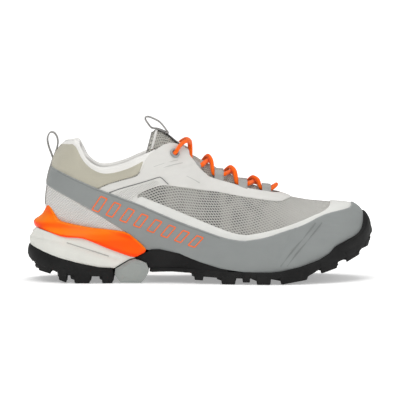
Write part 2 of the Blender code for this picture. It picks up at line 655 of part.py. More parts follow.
def tongue_mesh(name, x_from, x_to, steps, across, thick):
    """Closed arched pad between two stations."""
    points = []
    for depth in (0.0, thick):
        for i in range(steps + 1):
            x = x_from + (x_to - x_from) * i / steps
            for j in range(across + 1):
                points.append(tongue_point(x, 2.0 * j / across - 1.0, depth))
    wide = across + 1
    size = wide * (steps + 1)
    faces = []
    for i in range(steps):
        for j in range(across):
            a = i * wide + j
            faces.append((a, a + 1, a + wide + 1, a + wide))
            faces.append((a + size, a + wide + size, a + wide + 1 + size, a + 1 + size))
    loop = list(range(wide)) + [i * wide + across for i in range(1, steps + 1)]
    loop += [steps * wide + j for j in range(across - 1, -1, -1)] + [i * wide for i in range(steps - 1, 0, -1)]
    for a, b in zip(loop, loop[1:] + loop[:1]):
        faces.append((a, b, b + size, a + size))
    return mesh_from(name, points, faces, outward=True)


def add_tongue():
    """Tongue under the lacing and its free upper flap."""
    new_object(
        "tongue", tongue_mesh("tongue", TONGUE_SPLIT + 0.5, TONGUE_FRONT, 9, 8, TONGUE_THICK), "tongue_knit"
    )
    new_object(
        "tongue_flap", tongue_mesh("tongue_flap", TONGUE_REAR, TONGUE_SPLIT, 4, 8, FLAP_THICK), "tongue_knit"
    )


EYELET_TOOLS = {}


def eyelet_place(side):
    """Centre and outward direction of the top eyelet on one side."""
    points, faces, _, _ = GRID
    best = None
    for a, b, c in faces:
        pa, pb, pc = points[a], points[b], points[c]
        centre = (pa + pb + pc) / 3.0
        if centre.y * side < 0.0:
            continue
        miss = (centre.x - EYELET[0]) ** 2 + (centre.z - EYELET[1]) ** 2
        if best is None or miss < best[0]:
            normal = (pb - pa).cross(pc - pa).normalized()
            best = (miss, pa, normal)
    _, corner, normal = best
    reach = normal.x * (EYELET[0] - corner.x) + normal.z * (EYELET[1] - corner.z)
    return Vector((EYELET[0], corner.y - reach / normal.y, EYELET[1])), normal


def turned(radii_heights, sides, centre, axis, name):
    """Closed ring turned from a loop of (radius, height) round an axis."""
    across = axis.orthogonal().normalized()
    other = axis.cross(across)
    points = []
    for k in range(sides):
        angle = 2.0 * math.pi * k / sides
        spoke = across * math.cos(angle) + other * math.sin(angle)
        points += [centre + spoke * r + axis * h for r, h in radii_heights]
    wide = len(radii_heights)
    faces = []
    for k in range(sides):
        for j in range(wide):
            a, b = k * wide + j, k * wide + (j + 1) % wide
            c, d = ((k + 1) % sides) * wide + (j + 1) % wide, ((k + 1) % sides) * wide + j
            faces.append((a, b, c, d))
    return mesh_from(name, points, faces, outward=True)


def rod_mesh(name, start, end, radius, sides=14):
    """Closed straight round rod."""
    axis = (end - start).normalized()
    across = axis.orthogonal().normalized()
    other = axis.cross(across)
    points = []
    for centre in (start, end):
        for k in range(sides):
            angle = 2.0 * math.pi * k / sides
            points.append(centre + (across * math.cos(angle) + other * math.sin(angle)) * radius)
    faces = [tuple(range(sides)), tuple(range(2 * sides - 1, sides - 1, -1))]
    faces += [(k, (k + 1) % sides, (k + 1) % sides + sides, k + sides) for k in range(sides)]
    return mesh_from(name, points, faces, outward=True)


def make_eyelet_tools():
    """Hole cutters through every layer at the top eyelets."""
    for word, side in SIDES:
        centre, axis = eyelet_place(side)
        name = "eyelet_tool_" + word
        EYELET_TOOLS[side] = cutter(
            name, rod_mesh(name, centre - axis * 7.0, centre + axis * 5.0, EYELET_HOLE)
        )


def add_eyelets():
    """Pressed rings in the top eyelet holes."""
    low, high, rim = EYELET_HOLE - 0.75, EYELET_HOLE - 0.35, 3.9
    ring = [(low, -3.6), (high, -3.6), (high, 2.0), (rim, 2.0), (rim, 2.6), (low, 2.6)]
    for word, side in SIDES:
        centre, axis = eyelet_place(side)
        name = "eyelet_" + word
        new_object(name, turned(ring, 14, centre, axis, name), "grey_film")


def lace_route():
    """Points of the whole lace, from one tucked end over the instep to the other."""
    def strand(row, side):
        """Crossing behind a row, from the given side at the back to the other at the front."""
        x_mid, z_mid = CROSS_X[row], CROSS_Z[row] + (STRAND_STEP if side > 0 else 0.0)
        x_front, half, z_front = LOOP_ROWS[row]
        found = []
        if row > 0:
            x_back, back, z_back = LOOP_ROWS[row - 1]
            for y in (0.72, 0.36):
                lift = math.cos(y * math.pi / 2)
                x = x_back + 4.5 + (x_mid - x_back - 4.5) * (1.0 - y)
                found.append((x, side * back * y, z_back + (z_mid - z_back) * lift))
        found.append((x_mid, 0.0, z_mid))
        for y in (0.45, 0.85):
            lift = math.cos(y * math.pi / 2)
            x = x_mid + (x_front - 5.2 - x_mid) * y ** 0.6
            found.append((x, -side * half * y, z_front + (z_mid - z_front) * lift))
        return found

    def ring(row, side):
        """Through one webbing loop, from back to front."""
        x, half, z = LOOP_ROWS[row]
        return [(x - 4.2, side * half, z + 0.4), (x, side * half, z), (x + 4.2, side * half, z)]

    def end(side):
        """Tucked tail, up through the eyelet and over the edge of the eyestay."""
        centre, axis = eyelet_place(side)
        tail = [(x, y * side, z) for x, y, z in LACE_TAIL[::-1]]
        through = [tuple(centre + axis * h) for h in (-6.3, -1.5, 5.6)]
        over = [(-18.4, 23.0 * side, 119.4), (-14.6, 16.2 * side, 120.2), (-11.4, 8.0 * side, 119.0)]
        return tail + through + over

    def half_route(side):
        """From a tucked end forward to the front row."""
        found = end(side)
        for row in range(len(LOOP_ROWS)):
            found += strand(row, side) + ring(row, -side)
            side = -side
        return found

    return half_route(-1) + [BAR] + half_route(1)[::-1]


def add_lacing():
    """Webbing loops, the lace and its ends."""
    for word, side in SIDES:
        for row, (x, half, z) in enumerate(LOOP_ROWS):
            name = "lace_loop_%s_%d" % (word, row + 1)
            low, high = LOOP_HOLE, LOOP_HOLE + WEBBING
            reach = LOOP_WIDTH / 2.0
            section = [(low, -reach), (high, -reach), (high, reach), (low, reach)]
            centre = Vector((x, side * half, z))
            new_object(name, turned(section, 12, centre, Vector((1.0, 0.0, 0.0)), name), "webbing")
    route = lace_route()
    data = bpy.data.curves.new("lace", "CURVE")
    data.dimensions = "3D"
    data.bevel_depth = LACE_RADIUS * MM
    data.bevel_resolution = 2
    data.use_fill_caps = True
    line = data.splines.new("POLY")
    line.points.add(len(route) - 1)
    for place, point in zip(line.points, route):
        place.co = (*(Vector(point) * MM), 1.0)
    new_object("lace", data, "lace")
    for word, first, second in (("outer", route[0], route[1]), ("inner", route[-1], route[-2])):
        start, behind = Vector(first), Vector(second)
        along = (start - behind).normalized()
        name = "aglet_" + word
        rod = rod_mesh(name, start + along * GAP, start + along * AGLET_LENGTH, 1.6, 8)
        new_object(name, rod, "aglet")


def ribbon_ring(name, middle, half):
    """Closed flat ribbon round a closed middle line in side view."""
    line = curve_points(middle, 2, closed=True)
    outer, inner = grown(line, RIBBON / 2.0), grown(line, -RIBBON / 2.0)
    count = len(line)
    points = [(x, y, z) for y in (-half, half) for loop in (outer, inner) for x, z in loop]
    faces = []
    for i in range(count):
        j = (i + 1) % count
        faces.append((i, j, j + count, i + count))
        faces.append((i + 2 * count, i + 3 * count, j + 3 * count, j + 2 * count))
        faces.append((i, i + 2 * count, j + 2 * count, j))
        faces.append((i + count, j + count, j + 3 * count, i + 3 * count))
    return mesh_from(name, points, faces, outward=True)


def add_pulls():
    """Heel tab with its pull loop, and the pull loop on the tongue."""
    tab = new_object("heel_tab", layer_mesh("heel_tab", HEEL_TAB), "webbing")
    prism = side_prism("heel_tab_cut", HEEL_TAB_SIDE, -HEEL_LOOP_HALF, HEEL_LOOP_HALF)
    trim(tab, "INTERSECT", cutter("heel_tab_cut", prism))
    new_object("heel_pull_loop", ribbon_ring("heel_pull_loop", HEEL_LOOP, HEEL_LOOP_HALF), "webbing")
    new_object("tongue_pull_loop", ribbon_ring("tongue_pull_loop", TONGUE_LOOP, TONGUE_LOOP_HALF), "webbing")


def add_binding():
    """Strip that closes the padded collar along its top."""
    points, _, normals, rows = GRID
    count = STATIONS
    ring = [i % count for i in range(-count // 2, count // 2) if points[rows[i % count][ROWS]].x < BINDING_END]
    spots = []
    for i in ring:
        top, normal = points[rows[i][ROWS]], normals[rows[i][ROWS]]
        rise = (top - points[rows[i][ROWS - 1]]).normalized()
        for offset, up in ((0.9, 1.8), (0.9, 2.9), (-9.0, 2.9), (-9.0, 1.8)):
            spots.append(top + normal * offset + rise * up)
    faces = [(0, 1, 2, 3), tuple(4 * (len(ring) - 1) + k for k in (3, 2, 1, 0))]
    for i in range(len(ring) - 1):
        for k in range(4):
            a, b = 4 * i + k, 4 * i + (k + 1) % 4
            faces += [(a, b, b + 4), (a, b + 4, a + 4)]
    new_object("topline_binding", mesh_from("topline_binding", spots, faces, outward=True), "lining")


def main():
    """Build every part of the shoe."""
    global GRID
    for old in list(bpy.data.objects):
        bpy.data.objects.remove(old, do_unlink=True)
    GRID = last_grid()
    make_eyelet_tools()
    throat = throat_cutter()
    add_knit(throat)
    add_linings(throat)
    add_panels(throat)
    add_sole()
    add_tongue()
    add_eyelets()
    add_lacing()
    add_pulls()
    add_binding()


main()
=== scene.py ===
"""Looks of a low-cut hiking shoe for the right foot.

Every panel of the upper is cut from one surface, the last, so the panels lie
on each other as on the real shoe.  Lengths in this file are millimetres.
+X runs to the toe, -Y is the outer side, +Y the inner side, +Z is up.
"""
import logging
import math
from dataclasses import dataclass, field
from enum import Enum
from typing import Callable, Dict, List, Optional, Sequence, Tuple

import bmesh
import bpy
import numpy as np
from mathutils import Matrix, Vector


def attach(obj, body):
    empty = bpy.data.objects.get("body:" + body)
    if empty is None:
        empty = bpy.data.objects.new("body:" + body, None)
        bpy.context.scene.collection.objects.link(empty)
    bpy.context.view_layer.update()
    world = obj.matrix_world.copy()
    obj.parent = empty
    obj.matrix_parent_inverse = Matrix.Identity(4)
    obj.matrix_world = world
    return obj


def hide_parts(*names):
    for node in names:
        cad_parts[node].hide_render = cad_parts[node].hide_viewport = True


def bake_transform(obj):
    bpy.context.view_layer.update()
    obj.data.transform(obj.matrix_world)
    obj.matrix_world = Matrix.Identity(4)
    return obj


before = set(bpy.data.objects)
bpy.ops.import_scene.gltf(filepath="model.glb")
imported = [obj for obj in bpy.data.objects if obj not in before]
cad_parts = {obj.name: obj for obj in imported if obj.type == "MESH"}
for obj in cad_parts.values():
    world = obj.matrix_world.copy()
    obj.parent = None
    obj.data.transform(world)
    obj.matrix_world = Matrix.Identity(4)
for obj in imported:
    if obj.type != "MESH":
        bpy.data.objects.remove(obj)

LOG = logging.getLogger("hiking_shoe")
MM = 0.001
Point2 = Tuple[float, float]
Point3 = Tuple[float, float, float]
Table = Sequence[Point2]
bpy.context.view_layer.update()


# The last and the outlines cut from it, as the CAD has them.

# Lower edge of the upper, seen from above: heel centre, outer side, toe.
LOW_HEEL = (-131.0, 0.0)
LOW_OUTER = [
    (-128.0, -12.5), (-119.5, -23.5), (-106.0, -30.0), (-90.0, -32.0), (-72.0, -32.5), (-54.0, -33.0),
    (-38.0, -34.5), (-22.0, -37.0), (-7.0, -40.0), (10.0, -43.5), (28.0, -47.0), (46.0, -49.0),
    (64.0, -49.0), (82.0, -46.0), (99.0, -39.0), (115.0, -29.5), (128.0, -18.5), (137.5, -6.0),
]
LOW_TOE = (141.0, 8.0)
LOW_INNER_Y = [
    12.5, 23.5, 29.5, 31.0, 31.0, 29.5, 28.5, 29.5, 32.5, 37.0,
    41.5, 46.0, 49.0, 49.8, 47.0, 41.0, 33.0, 22.0,
]
# Height of that edge along the shoe.
FEATHER = [
    (-132.0, 36.0), (-92.0, 36.0), (-70.0, 34.0), (-55.0, 31.0), (-44.0, 28.5), (-34.0, 29.0),
    (-17.0, 25.6), (0.0, 18.6), (17.0, 13.4), (43.0, 10.0), (61.0, 10.0), (87.0, 14.3), (104.0, 18.0),
    (120.0, 23.5), (132.0, 28.0), (143.0, 31.0),
]
# Upper rail: the topline round the ankle, then the ridge over the instep.
TOP_HEEL = (-119.0, 0.0, 117.6)
TOP_OUTER = [
    (-117.5, -9.0, 118.0), (-112.5, -17.0, 118.3), (-105.0, -22.5, 117.4), (-96.3, -26.0, 103.5),
    (-84.0, -28.0, 96.5), (-66.0, -28.8, 99.3), (-46.0, -27.5, 108.2), (-27.0, -22.5, 118.6),
    (-10.0, -12.5, 112.7), (8.0, 0.0, 102.0), (26.0, 0.0, 92.5), (44.0, 0.0, 84.5), (60.0, 0.0, 78.5),
    (76.0, 0.5, 72.3), (90.0, 1.0, 69.1), (102.0, 2.0, 67.6), (111.0, 3.0, 66.6), (117.0, 3.5, 66.1),
]
TOP_TOE = (119.0, 3.7, 66.0)
SPINE_FROM = 6.0
# How the wall leaves the lower edge and reaches the upper rail, along the shoe.
LOW_BULGE = [(-132, 5.5), (-110, 2.5), (-60, 1.5), (0, 1.0), (45, 1.5), (90, 2.5), (125, 5.0), (143, 6.5)]
LOW_REACH = [(-132, 32), (-100, 30), (-60, 28), (-25, 34), (0, 40), (45, 40), (90, 34), (125, 24), (143, 21)]
TOP_SPREAD = [
    (-132, 1.0), (-60, 1.0), (-25, 0.75), (0, 0.45), (45, 0.42), (90, 0.62), (125, 0.85), (143, 0.93),
]
TOP_LIFT = [(-132, -21), (-60, -18), (-25, -16), (0, -6), (45, -1), (90, 1), (143, 2)]

# Sole seen from above, outer side then inner side, from the heel.
SOLE_OUTER = [
    (-149.5, 0.0), (-146.0, -16.0), (-136.0, -29.5), (-118.0, -38.5), (-96.0, -42.0), (-70.0, -40.0),
    (-45.0, -39.0), (-15.0, -42.0), (18.0, -49.5), (45.0, -54.0), (66.0, -55.0), (88.0, -50.5),
    (108.0, -41.5), (126.0, -29.0), (141.0, -13.0), (149.6, 7.0),
]
SOLE_INNER = [
    (147.5, 20.0), (139.0, 33.0), (124.0, 43.5), (108.0, 50.5), (88.0, 54.5), (66.0, 55.0), (45.0, 51.0),
    (18.0, 42.5), (-15.0, 35.0), (-45.0, 34.0), (-70.0, 38.0), (-96.0, 42.0), (-118.0, 38.5),
    (-136.0, 29.5), (-146.0, 16.0),
]

# Side outlines of the pieces of the sole and of the panels of the upper, as (x, z).
HEEL_FRAME = [
    (-132.5, 67.0), (-136.1, 62.5), (-138.5, 54.5), (-142.6, 52.0), (-141.2, 46.5), (-130.0, 43.5),
    (-117.0, 39.4), (-102.3, 39.0), (-95.4, 37.0), (-78.0, 29.5), (-60.7, 23.2), (-55.4, 22.2),
    (-44.8, 27.7), (-52.0, 35.1), (-62.4, 43.8), (-78.0, 46.0), (-95.4, 47.7), (-119.6, 52.0),
    (-124.0, 54.0), (-130.0, 63.0),
]
MIDSOLE_HEEL = [
    (-147.0, 31.3), (-138.7, 27.5), (-130.0, 24.5), (-121.4, 21.7), (-104.0, 17.4), (-86.7, 13.9),
    (-73.5, 13.0), (-61.0, 20.4), (-55.8, 21.8), (-52.0, 28.0), (-62.0, 40.0), (-78.0, 43.0),
    (-112.0, 47.0), (-141.0, 46.0), (-144.8, 42.0), (-147.4, 37.0), (-147.8, 33.0),
]
COLLAR_COVER = [
    (-150.0, 101.0), (-121.4, 93.5), (-104.0, 85.7), (-89.3, 79.5), (-82.4, 83.5), (-69.4, 87.7),
    (-56.4, 91.2), (-52.9, 93.4), (-51.0, 97.0), (-46.8, 107.0), (-46.8, 130.0), (-150.0, 130.0),
]
HEEL_PANEL = [
    (-150.0, 30.0), (-44.0, 30.0), (-50.0, 38.0), (-58.0, 46.0), (-69.4, 53.0), (-86.7, 64.0),
    (-104.0, 74.0), (-121.4, 84.0), (-150.0, 93.0),
]
EYESTAY = [
    (-92.0, 77.5), (-82.4, 82.9), (-69.4, 87.1), (-56.0, 90.5), (-52.2, 93.0), (-50.3, 96.8),
    (-46.2, 106.5), (-46.2, 130.0), (30.0, 130.0), (79.5, 90.0), (79.5, 68.6), (60.7, 69.3), (34.7, 73.4),
    (17.3, 77.0), (0.0, 79.4), (-17.3, 82.2), (-32.1, 84.0), (-43.4, 80.5), (-50.5, 77.4), (-53.4, 75.4),
    (-53.6, 73.4), (-51.0, 71.5), (-56.0, 63.0), (-72.0, 68.5),
]
TRIM = [
    (-51.6, 74.8), (-43.4, 71.4), (-26.0, 64.6), (-8.7, 57.5), (8.7, 50.2), (26.0, 43.8), (34.7, 42.0),
    (40.7, 41.6), (52.0, 43.4), (69.4, 47.4), (86.7, 53.0), (95.4, 56.5), (104.0, 59.5), (109.0, 62.0),
    (113.0, 66.0), (113.0, 80.0), (133.0, 80.0), (133.0, 63.0), (121.0, 57.5), (104.0, 53.0), (86.7, 46.0),
    (69.4, 41.0), (53.8, 36.0), (34.7, 34.0), (17.3, 37.3), (0.0, 43.4), (-17.3, 49.8), (-34.7, 57.4),
    (-52.0, 64.6), (-59.2, 66.4),
]
BAND = [
    (-150.0, 108.5), (-127.4, 98.5), (-104.0, 87.9), (-89.3, 81.2), (-69.4, 74.0), (-52.0, 67.6),
    (-17.3, 52.7), (0.0, 46.4), (17.3, 40.3), (26.0, 38.1), (34.7, 36.8), (40.7, 36.8), (53.8, 39.0),
    (69.4, 43.6), (86.7, 48.8), (104.0, 56.4), (112.7, 59.0), (121.4, 60.5), (129.2, 61.8), (130.8, 65.0),
    (130.8, 80.0), (155.0, 80.0), (155.0, 2.0), (-46.0, 2.0), (-46.0, 29.7), (-58.1, 39.9), (-69.4, 47.3),
    (-86.7, 58.1), (-104.0, 68.1), (-121.4, 77.5), (-150.0, 90.0),
]
# Throat of the lacing seen from above, half width along the shoe.
THROAT = [
    (-60.0, 10.0), (-10.2, 12.0), (-9.2, 18.7), (20.0, 17.0), (40.0, 16.0), (55.0, 14.0), (61.0, 12.6),
    (66.0, 9.0), (71.0, 0.0),
]

# Tongue: ridge height, half width and how far its sides drop.
TONGUE_RIDGE = [
    (-46.0, 129.0), (-42.5, 129.6), (-38.0, 129.4), (-30.0, 126.3), (-21.7, 119.5), (-8.7, 109.0),
    (5.0, 101.5), (21.7, 92.8), (41.6, 83.8), (60.7, 75.5), (72.0, 67.0),
]
TONGUE_HALF = [(-46.0, 14.0), (-22.0, 15.5), (0.0, 22.0), (30.0, 20.0), (60.0, 15.0), (72.0, 12.0)]
TONGUE_DROP = [(-46.0, 20.0), (-22.0, 25.0), (0.0, 36.0), (30.0, 29.0), (60.0, 13.0), (72.0, 7.0)]
TONGUE_REAR = -44.0
TONGUE_FRONT = 72.0
TONGUE_SPLIT = -22.0
TONGUE_THICK = 4.0
FLAP_THICK = 5.5

# Lacing: rows of webbing loops at the throat, as (x, half width, z), and the top eyelet.
LOOP_ROWS = [(-3.0, 14.2, 99.8), (16.5, 13.2, 91.9), (37.0, 12.2, 83.6), (57.5, 8.0, 79.0)]
LOOP_WIDTH = 6.0
WEBBING = 0.9
CROSS_X = [-8.7, 7.4, 26.8, 46.6]
CROSS_Z = [114.2, 102.8, 93.2, 84.4]
STRAND_STEP = 3.8
BAR = (66.0, 0.0, 82.0)
EYELET = (-22.1, 110.5)
EYELET_HOLE = 3.1
# Lace from the back of the eyelet to its tucked end, on the inner side of the shoe.
LACE_TAIL = [(-27.0, 18.3, 104.5), (-36.0, 17.6, 98.0), (-46.0, 16.6, 92.0), (-53.0, 16.0, 87.5)]
# Lace from the top eyelet up to its first crossing, on the inner side of the shoe.
LACE_BRIDGE = [(-17.2, 23.4, 117.2), (-12.4, 16.8, 120.6), (-9.4, 8.6, 119.6)]
# Section of the eyelet ring: distance from its middle, height over the eyestay.
EYELET_SECTION = [
    (2.35, -3.4), (2.75, -3.4), (2.8, 1.2), (3.3, 1.35), (3.9, 1.2), (4.3, 1.3), (4.25, 1.9), (3.7, 2.4),
    (2.9, 2.45), (2.4, 2.0),
]

# Pull loops: closed middle lines in side view.
HEEL_LOOP = [
    (-126.9, 104.8), (-125.4, 109.5), (-123.7, 114.5), (-123.0, 119.0), (-123.6, 123.0), (-125.4, 126.2),
    (-127.6, 127.6), (-129.9, 127.0), (-131.6, 124.0), (-132.0, 120.3), (-130.9, 115.0), (-129.0, 109.8),
]
HEEL_LOOP_HALF = 4.5
TONGUE_LOOP = [
    (-41.8, 131.3), (-45.0, 135.0), (-47.0, 138.0), (-47.2, 140.3), (-44.3, 140.8), (-40.0, 139.2),
    (-35.8, 137.0), (-32.5, 133.8), (-29.5, 129.8), (-27.4, 126.7), (-31.0, 128.3), (-36.5, 130.4),
]
TONGUE_LOOP_HALF = 5.0

# More outlines of the panels, as (x, z).
LINING_ALL = [
    (-150.0, 30.0), (-150.0, 82.0), (-52.0, 82.0), (-46.0, 96.0), (-46.0, 150.0), (160.0, 150.0),
    (160.0, 22.0), (60.0, 6.0), (0.0, 12.0), (-34.0, 24.0),
]
FOLD_LINE = [
    (-78.0, 77.0), (-69.4, 80.2), (-60.5, 82.8), (-52.0, 85.2), (-44.0, 87.6), (-37.0, 89.9), (-34.4, 90.6),
    (-32.6, 89.6), (-29.8, 87.0), (-27.0, 84.4),
]
EYESTAY_CREASES = [[(-39.5, 99.2), (-33.0, 101.4), (-26.0, 103.2), (-19.5, 104.6)],
                   [(-37.5, 96.6), (-30.0, 99.0), (-22.0, 101.0), (-15.5, 102.2)],
                   [(-12.0, 91.0), (-6.5, 88.2), (-1.0, 85.0)]]
RAND_STITCH = [(98.5, 50.5), (95.0, 46.5), (87.0, 37.5), (79.0, 28.5), (72.0, 20.0), (68.5, 15.5)]
BAND_LIP = [
    (-121.0, 96.0), (-104.0, 87.9), (-89.3, 81.2), (-69.4, 74.0), (-52.0, 67.6), (-17.3, 52.7), (0.0, 46.4),
    (17.3, 40.3),
]
RIBBED = [
    (-74.0, 76.6), (-62.0, 80.6), (-50.0, 83.6), (-37.5, 87.6), (-34.0, 85.2), (-43.4, 81.6), (-52.0, 77.6),
    (-55.5, 74.2), (-60.5, 68.6), (-67.0, 71.2),
]
BUMPER = [
    (136.8, 66.0), (138.6, 62.0), (139.6, 57.0), (139.8, 52.0), (139.0, 47.5), (137.4, 44.0), (134.6, 41.0),
    (130.0, 38.2), (124.0, 35.0), (118.0, 31.0), (113.0, 25.0), (108.0, 15.0), (170.0, 15.0), (170.0, 65.0),
    (150.0, 65.0),
]
BAND_MIDDLE = [(-90.0, 69.0), (-60.0, 57.0), (-30.0, 45.5), (-3.5, 36.0), (10.0, 31.5)]
BAR_COUNT = 8
BAR_START = -86.0
BAR_STEP = 11.8
# Section of the collar pad: height along the wall under (below zero) or over the topline, distance outwards.
COLLAR_SECTION = [
    (-9.0, -0.2), (-3.6, 0.8), (-0.4, 1.9), (1.8, 1.5), (3.0, -0.6), (3.0, -4.5), (1.2, -8.0), (-3.0, -9.6),
    (-10.0, -9.6), (-18.0, -8.0), (-25.0, -5.5), (-31.0, -3.9), (-31.0, -3.3), (-22.0, -3.2), (-14.0, -2.2),
]
# Undersides and upper edges of the rubber along the shoe, as (x, z).
# Rows of lugs: rear, front, and the height of the ground at the rear and at the front.
HEEL_FLOOR = [
    (-149.5, 21.0), (-146.0, 17.5), (-140.0, 14.0), (-132.0, 11.5), (-124.0, 9.5), (-112.0, 6.5),
    (-74.0, 5.5),
]
HEEL_BROW = [
    (-149.5, 31.4), (-138.7, 27.4), (-130.0, 24.3), (-121.4, 21.5), (-104.0, 17.2), (-86.7, 13.8),
    (-73.5, 13.0),
]
HEEL_LUGS = [
    (-148.6, -143.8, 20.5, 16.8), (-139.5, -127.2, 9.8, 7.4), (-121.5, -114.0, 2.6, 0.3),
    (-108.5, -93.5, 0.0, 0.0), (-84.5, -74.2, 0.0, 0.0),
]
FRONT_FLOOR = [
    (-43.4, 9.4), (-25.0, 10.0), (-8.0, 9.0), (0.0, 6.2), (17.0, 5.2), (60.0, 5.0), (92.0, 6.0),
    (101.0, 11.5), (112.0, 14.0), (121.0, 18.5), (131.0, 21.5), (138.0, 25.5), (143.5, 31.0), (149.6, 38.5),
]
FRONT_BROW = [
    (-43.4, 12.8), (-20.0, 13.8), (0.0, 12.6), (20.0, 11.0), (43.0, 10.6), (61.0, 10.6), (69.4, 11.4),
    (86.7, 15.0), (104.0, 20.4), (112.7, 25.6), (118.0, 31.2), (131.8, 37.6), (138.7, 40.0), (143.0, 43.0),
    (149.6, 47.0),
]
FRONT_LUGS = [
    (-5.2, 3.2, 3.2, 2.8), (17.6, 31.0, 0.0, 0.0), (36.0, 43.0, 1.8, 1.8), (47.6, 61.0, 0.0, 0.0),
    (67.4, 93.2, -0.0, 3.6), (102.6, 118.6, 8.4, 12.6), (125.0, 138.0, 16.9, 22.4),
    (142.6, 148.0, 28.8, 34.5),
]
ARCH_OUTLINE = [
    (-56.2, 20.9), (-60.7, 19.5), (-72.4, 12.4), (-73.1, 7.8), (-71.8, 5.0), (-68.5, 0.6), (-50.3, 0.3),
    (-46.8, 4.3), (-44.1, 9.4), (-44.1, 12.8), (-46.0, 17.2), (-50.3, 19.3),
]
# How far the wall of the heel unit has drawn in towards the upper, by height.
WALL_INSET = [
    (8.0, 0.05), (31.0, 0.12), (37.0, 0.1), (42.0, 0.2), (46.0, 0.46), (52.0, 0.6), (60.0, 0.76),
    (66.0, 0.92), (70.0, 1.0),
]
# Ridge of the heel frame and crease of the heel midsole, as (x, z).
FRAME_RIDGE = [
    (-150.0, 51.5), (-141.0, 50.0), (-130.0, 45.6), (-121.0, 42.0), (-113.0, 40.6), (-95.0, 38.0),
    (-78.0, 31.5), (-60.0, 25.0), (-45.0, 24.0),
]
MIDSOLE_CREASE = [(-150.0, 41.0), (-114.4, 34.7), (-95.4, 28.9), (-78.0, 23.2), (-60.0, 19.0)]


# Curves and outlines.

def on_curve(points: Sequence, place: float, closed: bool = False) -> Tuple[float, ...]:
    """Point of the smooth curve through some points.

    Args:
        points: control points of any dimension.
        place: place on the curve, counted in control points.
        closed: whether the curve runs back to its first point.

    Returns:
        The point at that place.
    """
    count = len(points)
    last = count if closed else count - 1
    first = min(int(place), last - 1)
    t = place - first
    chosen = []
    for k in (-1, 0, 1, 2):
        i = first + k
        chosen.append(points[i % count] if closed else points[min(max(i, 0), count - 1)])
    return tuple(
        0.5 * (2 * q + (r - p) * t + (2 * p - 5 * q + 4 * r - s) * t * t + (3 * q - p - 3 * r + s) * t ** 3)
        for p, q, r, s in zip(*chosen)
    )


def curve_points(points: Sequence, per_span: int, closed: bool = False) -> List[Tuple[float, ...]]:
    """Many points along the smooth curve through a few.

    Args:
        points: control points.
        per_span: points made for each control point.
        closed: whether the curve runs back to its first point.

    Returns:
        The points in order.
    """
    spans = len(points) if closed else len(points) - 1
    found = [on_curve(points, i / per_span, closed) for i in range(spans * per_span)]
    if not closed:
        found.append(tuple(points[-1]))
    return found


def at(table: Table, x: float) -> float:
    """Value at x on the line drawn through (x, value) points."""
    return float(np.interp(x, [p[0] for p in table], [p[1] for p in table]))


def along(table: Table, x: np.ndarray) -> np.ndarray:
    """Values at many x on the line drawn through (x, value) points."""
    return np.interp(x, [p[0] for p in table], [p[1] for p in table])


def softened(outline: Table, turns: int = 2) -> np.ndarray:
    """Closed outline with its corners cut off again and again.

    Args:
        outline: corners of the outline.
        turns: how often the corners are cut.

    Returns:
        The corners of the rounder outline, one row each.
    """
    line = np.array(outline, float)
    for _ in range(turns):
        after = np.roll(line, -1, axis=0)
        line = np.stack([0.8 * line + 0.2 * after, 0.2 * line + 0.8 * after], axis=1).reshape(-1, 2)
    return line


def inside_by(outline: np.ndarray, x: np.ndarray, z: np.ndarray) -> np.ndarray:
    """How far points lie inside a closed outline.

    Args:
        outline: corners of the outline.
        x: first coordinate of each point.
        z: second coordinate of each point.

    Returns:
        Distance to the outline in millimetres, below zero outside it.
    """
    best = np.full(len(x), 1e9)
    inside = np.zeros(len(x), bool)
    for (ax, az), (bx, bz) in zip(outline, np.roll(outline, -1, axis=0)):
        run, rise = bx - ax, bz - az
        share = np.clip(((x - ax) * run + (z - az) * rise) / (run * run + rise * rise + 1e-12), 0.0, 1.0)
        best = np.minimum(best, (ax + share * run - x) ** 2 + (az + share * rise - z) ** 2)
        if az != bz:
            crosses = (az > z) != (bz > z)
            inside ^= crosses & (x < run * (z - az) / rise + ax)
    return np.where(inside, 1.0, -1.0) * np.sqrt(best)


def smoothstep(value: np.ndarray, low: float, high: float) -> np.ndarray:
    """0 below low, 1 above high and smooth between."""
    share = np.clip((value - low) / (high - low), 0.0, 1.0)
    return share * share * (3.0 - 2.0 * share)


def fresh(name: str, points: np.ndarray, faces: Sequence, body: str = "shoe") -> bpy.types.Object:
    """Make a smooth mesh object at the origin, its faces turned outwards.

    Args:
        name: name of the piece.
        points: corners in millimetres.
        faces: corner numbers of each face.
        body: the body it rides on; empty for none.

    Returns:
        The new object.
    """
    mesh = bpy.data.meshes.new(name)
    mesh.from_pydata((np.asarray(points, float) * MM).tolist(), [], [list(map(int, f)) for f in faces])
    work = bmesh.new()
    work.from_mesh(mesh)
    bmesh.ops.recalc_face_normals(work, faces=work.faces)
    work.to_mesh(mesh)
    work.free()
    mesh.shade_smooth()
    mesh.set_sharp_from_angle(angle=math.radians(50.0))
    made = bpy.data.objects.new(name, mesh)
    bpy.context.scene.collection.objects.link(made)
    if body:
        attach(made, body)
    LOG.info("%s: %d faces", name, len(mesh.polygons))
    return made


def give_uv(piece: bpy.types.Object, name: str, flat: np.ndarray) -> None:
    """Store a flat place for each corner of a mesh, in centimetres.

    Args:
        piece: the mesh.
        name: name of the layer.
        flat: one (x, y) for each vertex.
    """
    mesh = piece.data
    layer = mesh.uv_layers.new(name=name)
    order = np.empty(len(mesh.loops), np.int32)
    mesh.loops.foreach_get("vertex_index", order)
    layer.data.foreach_set("uv", (flat[order] / 10.0).astype(np.float32).ravel())


def give_value(piece: bpy.types.Object, name: str, values: np.ndarray) -> None:
    """Store one number at each corner of a mesh."""
    made = piece.data.attributes.new(name, "FLOAT", "POINT")
    made.data.foreach_set("value", np.asarray(values, np.float32))


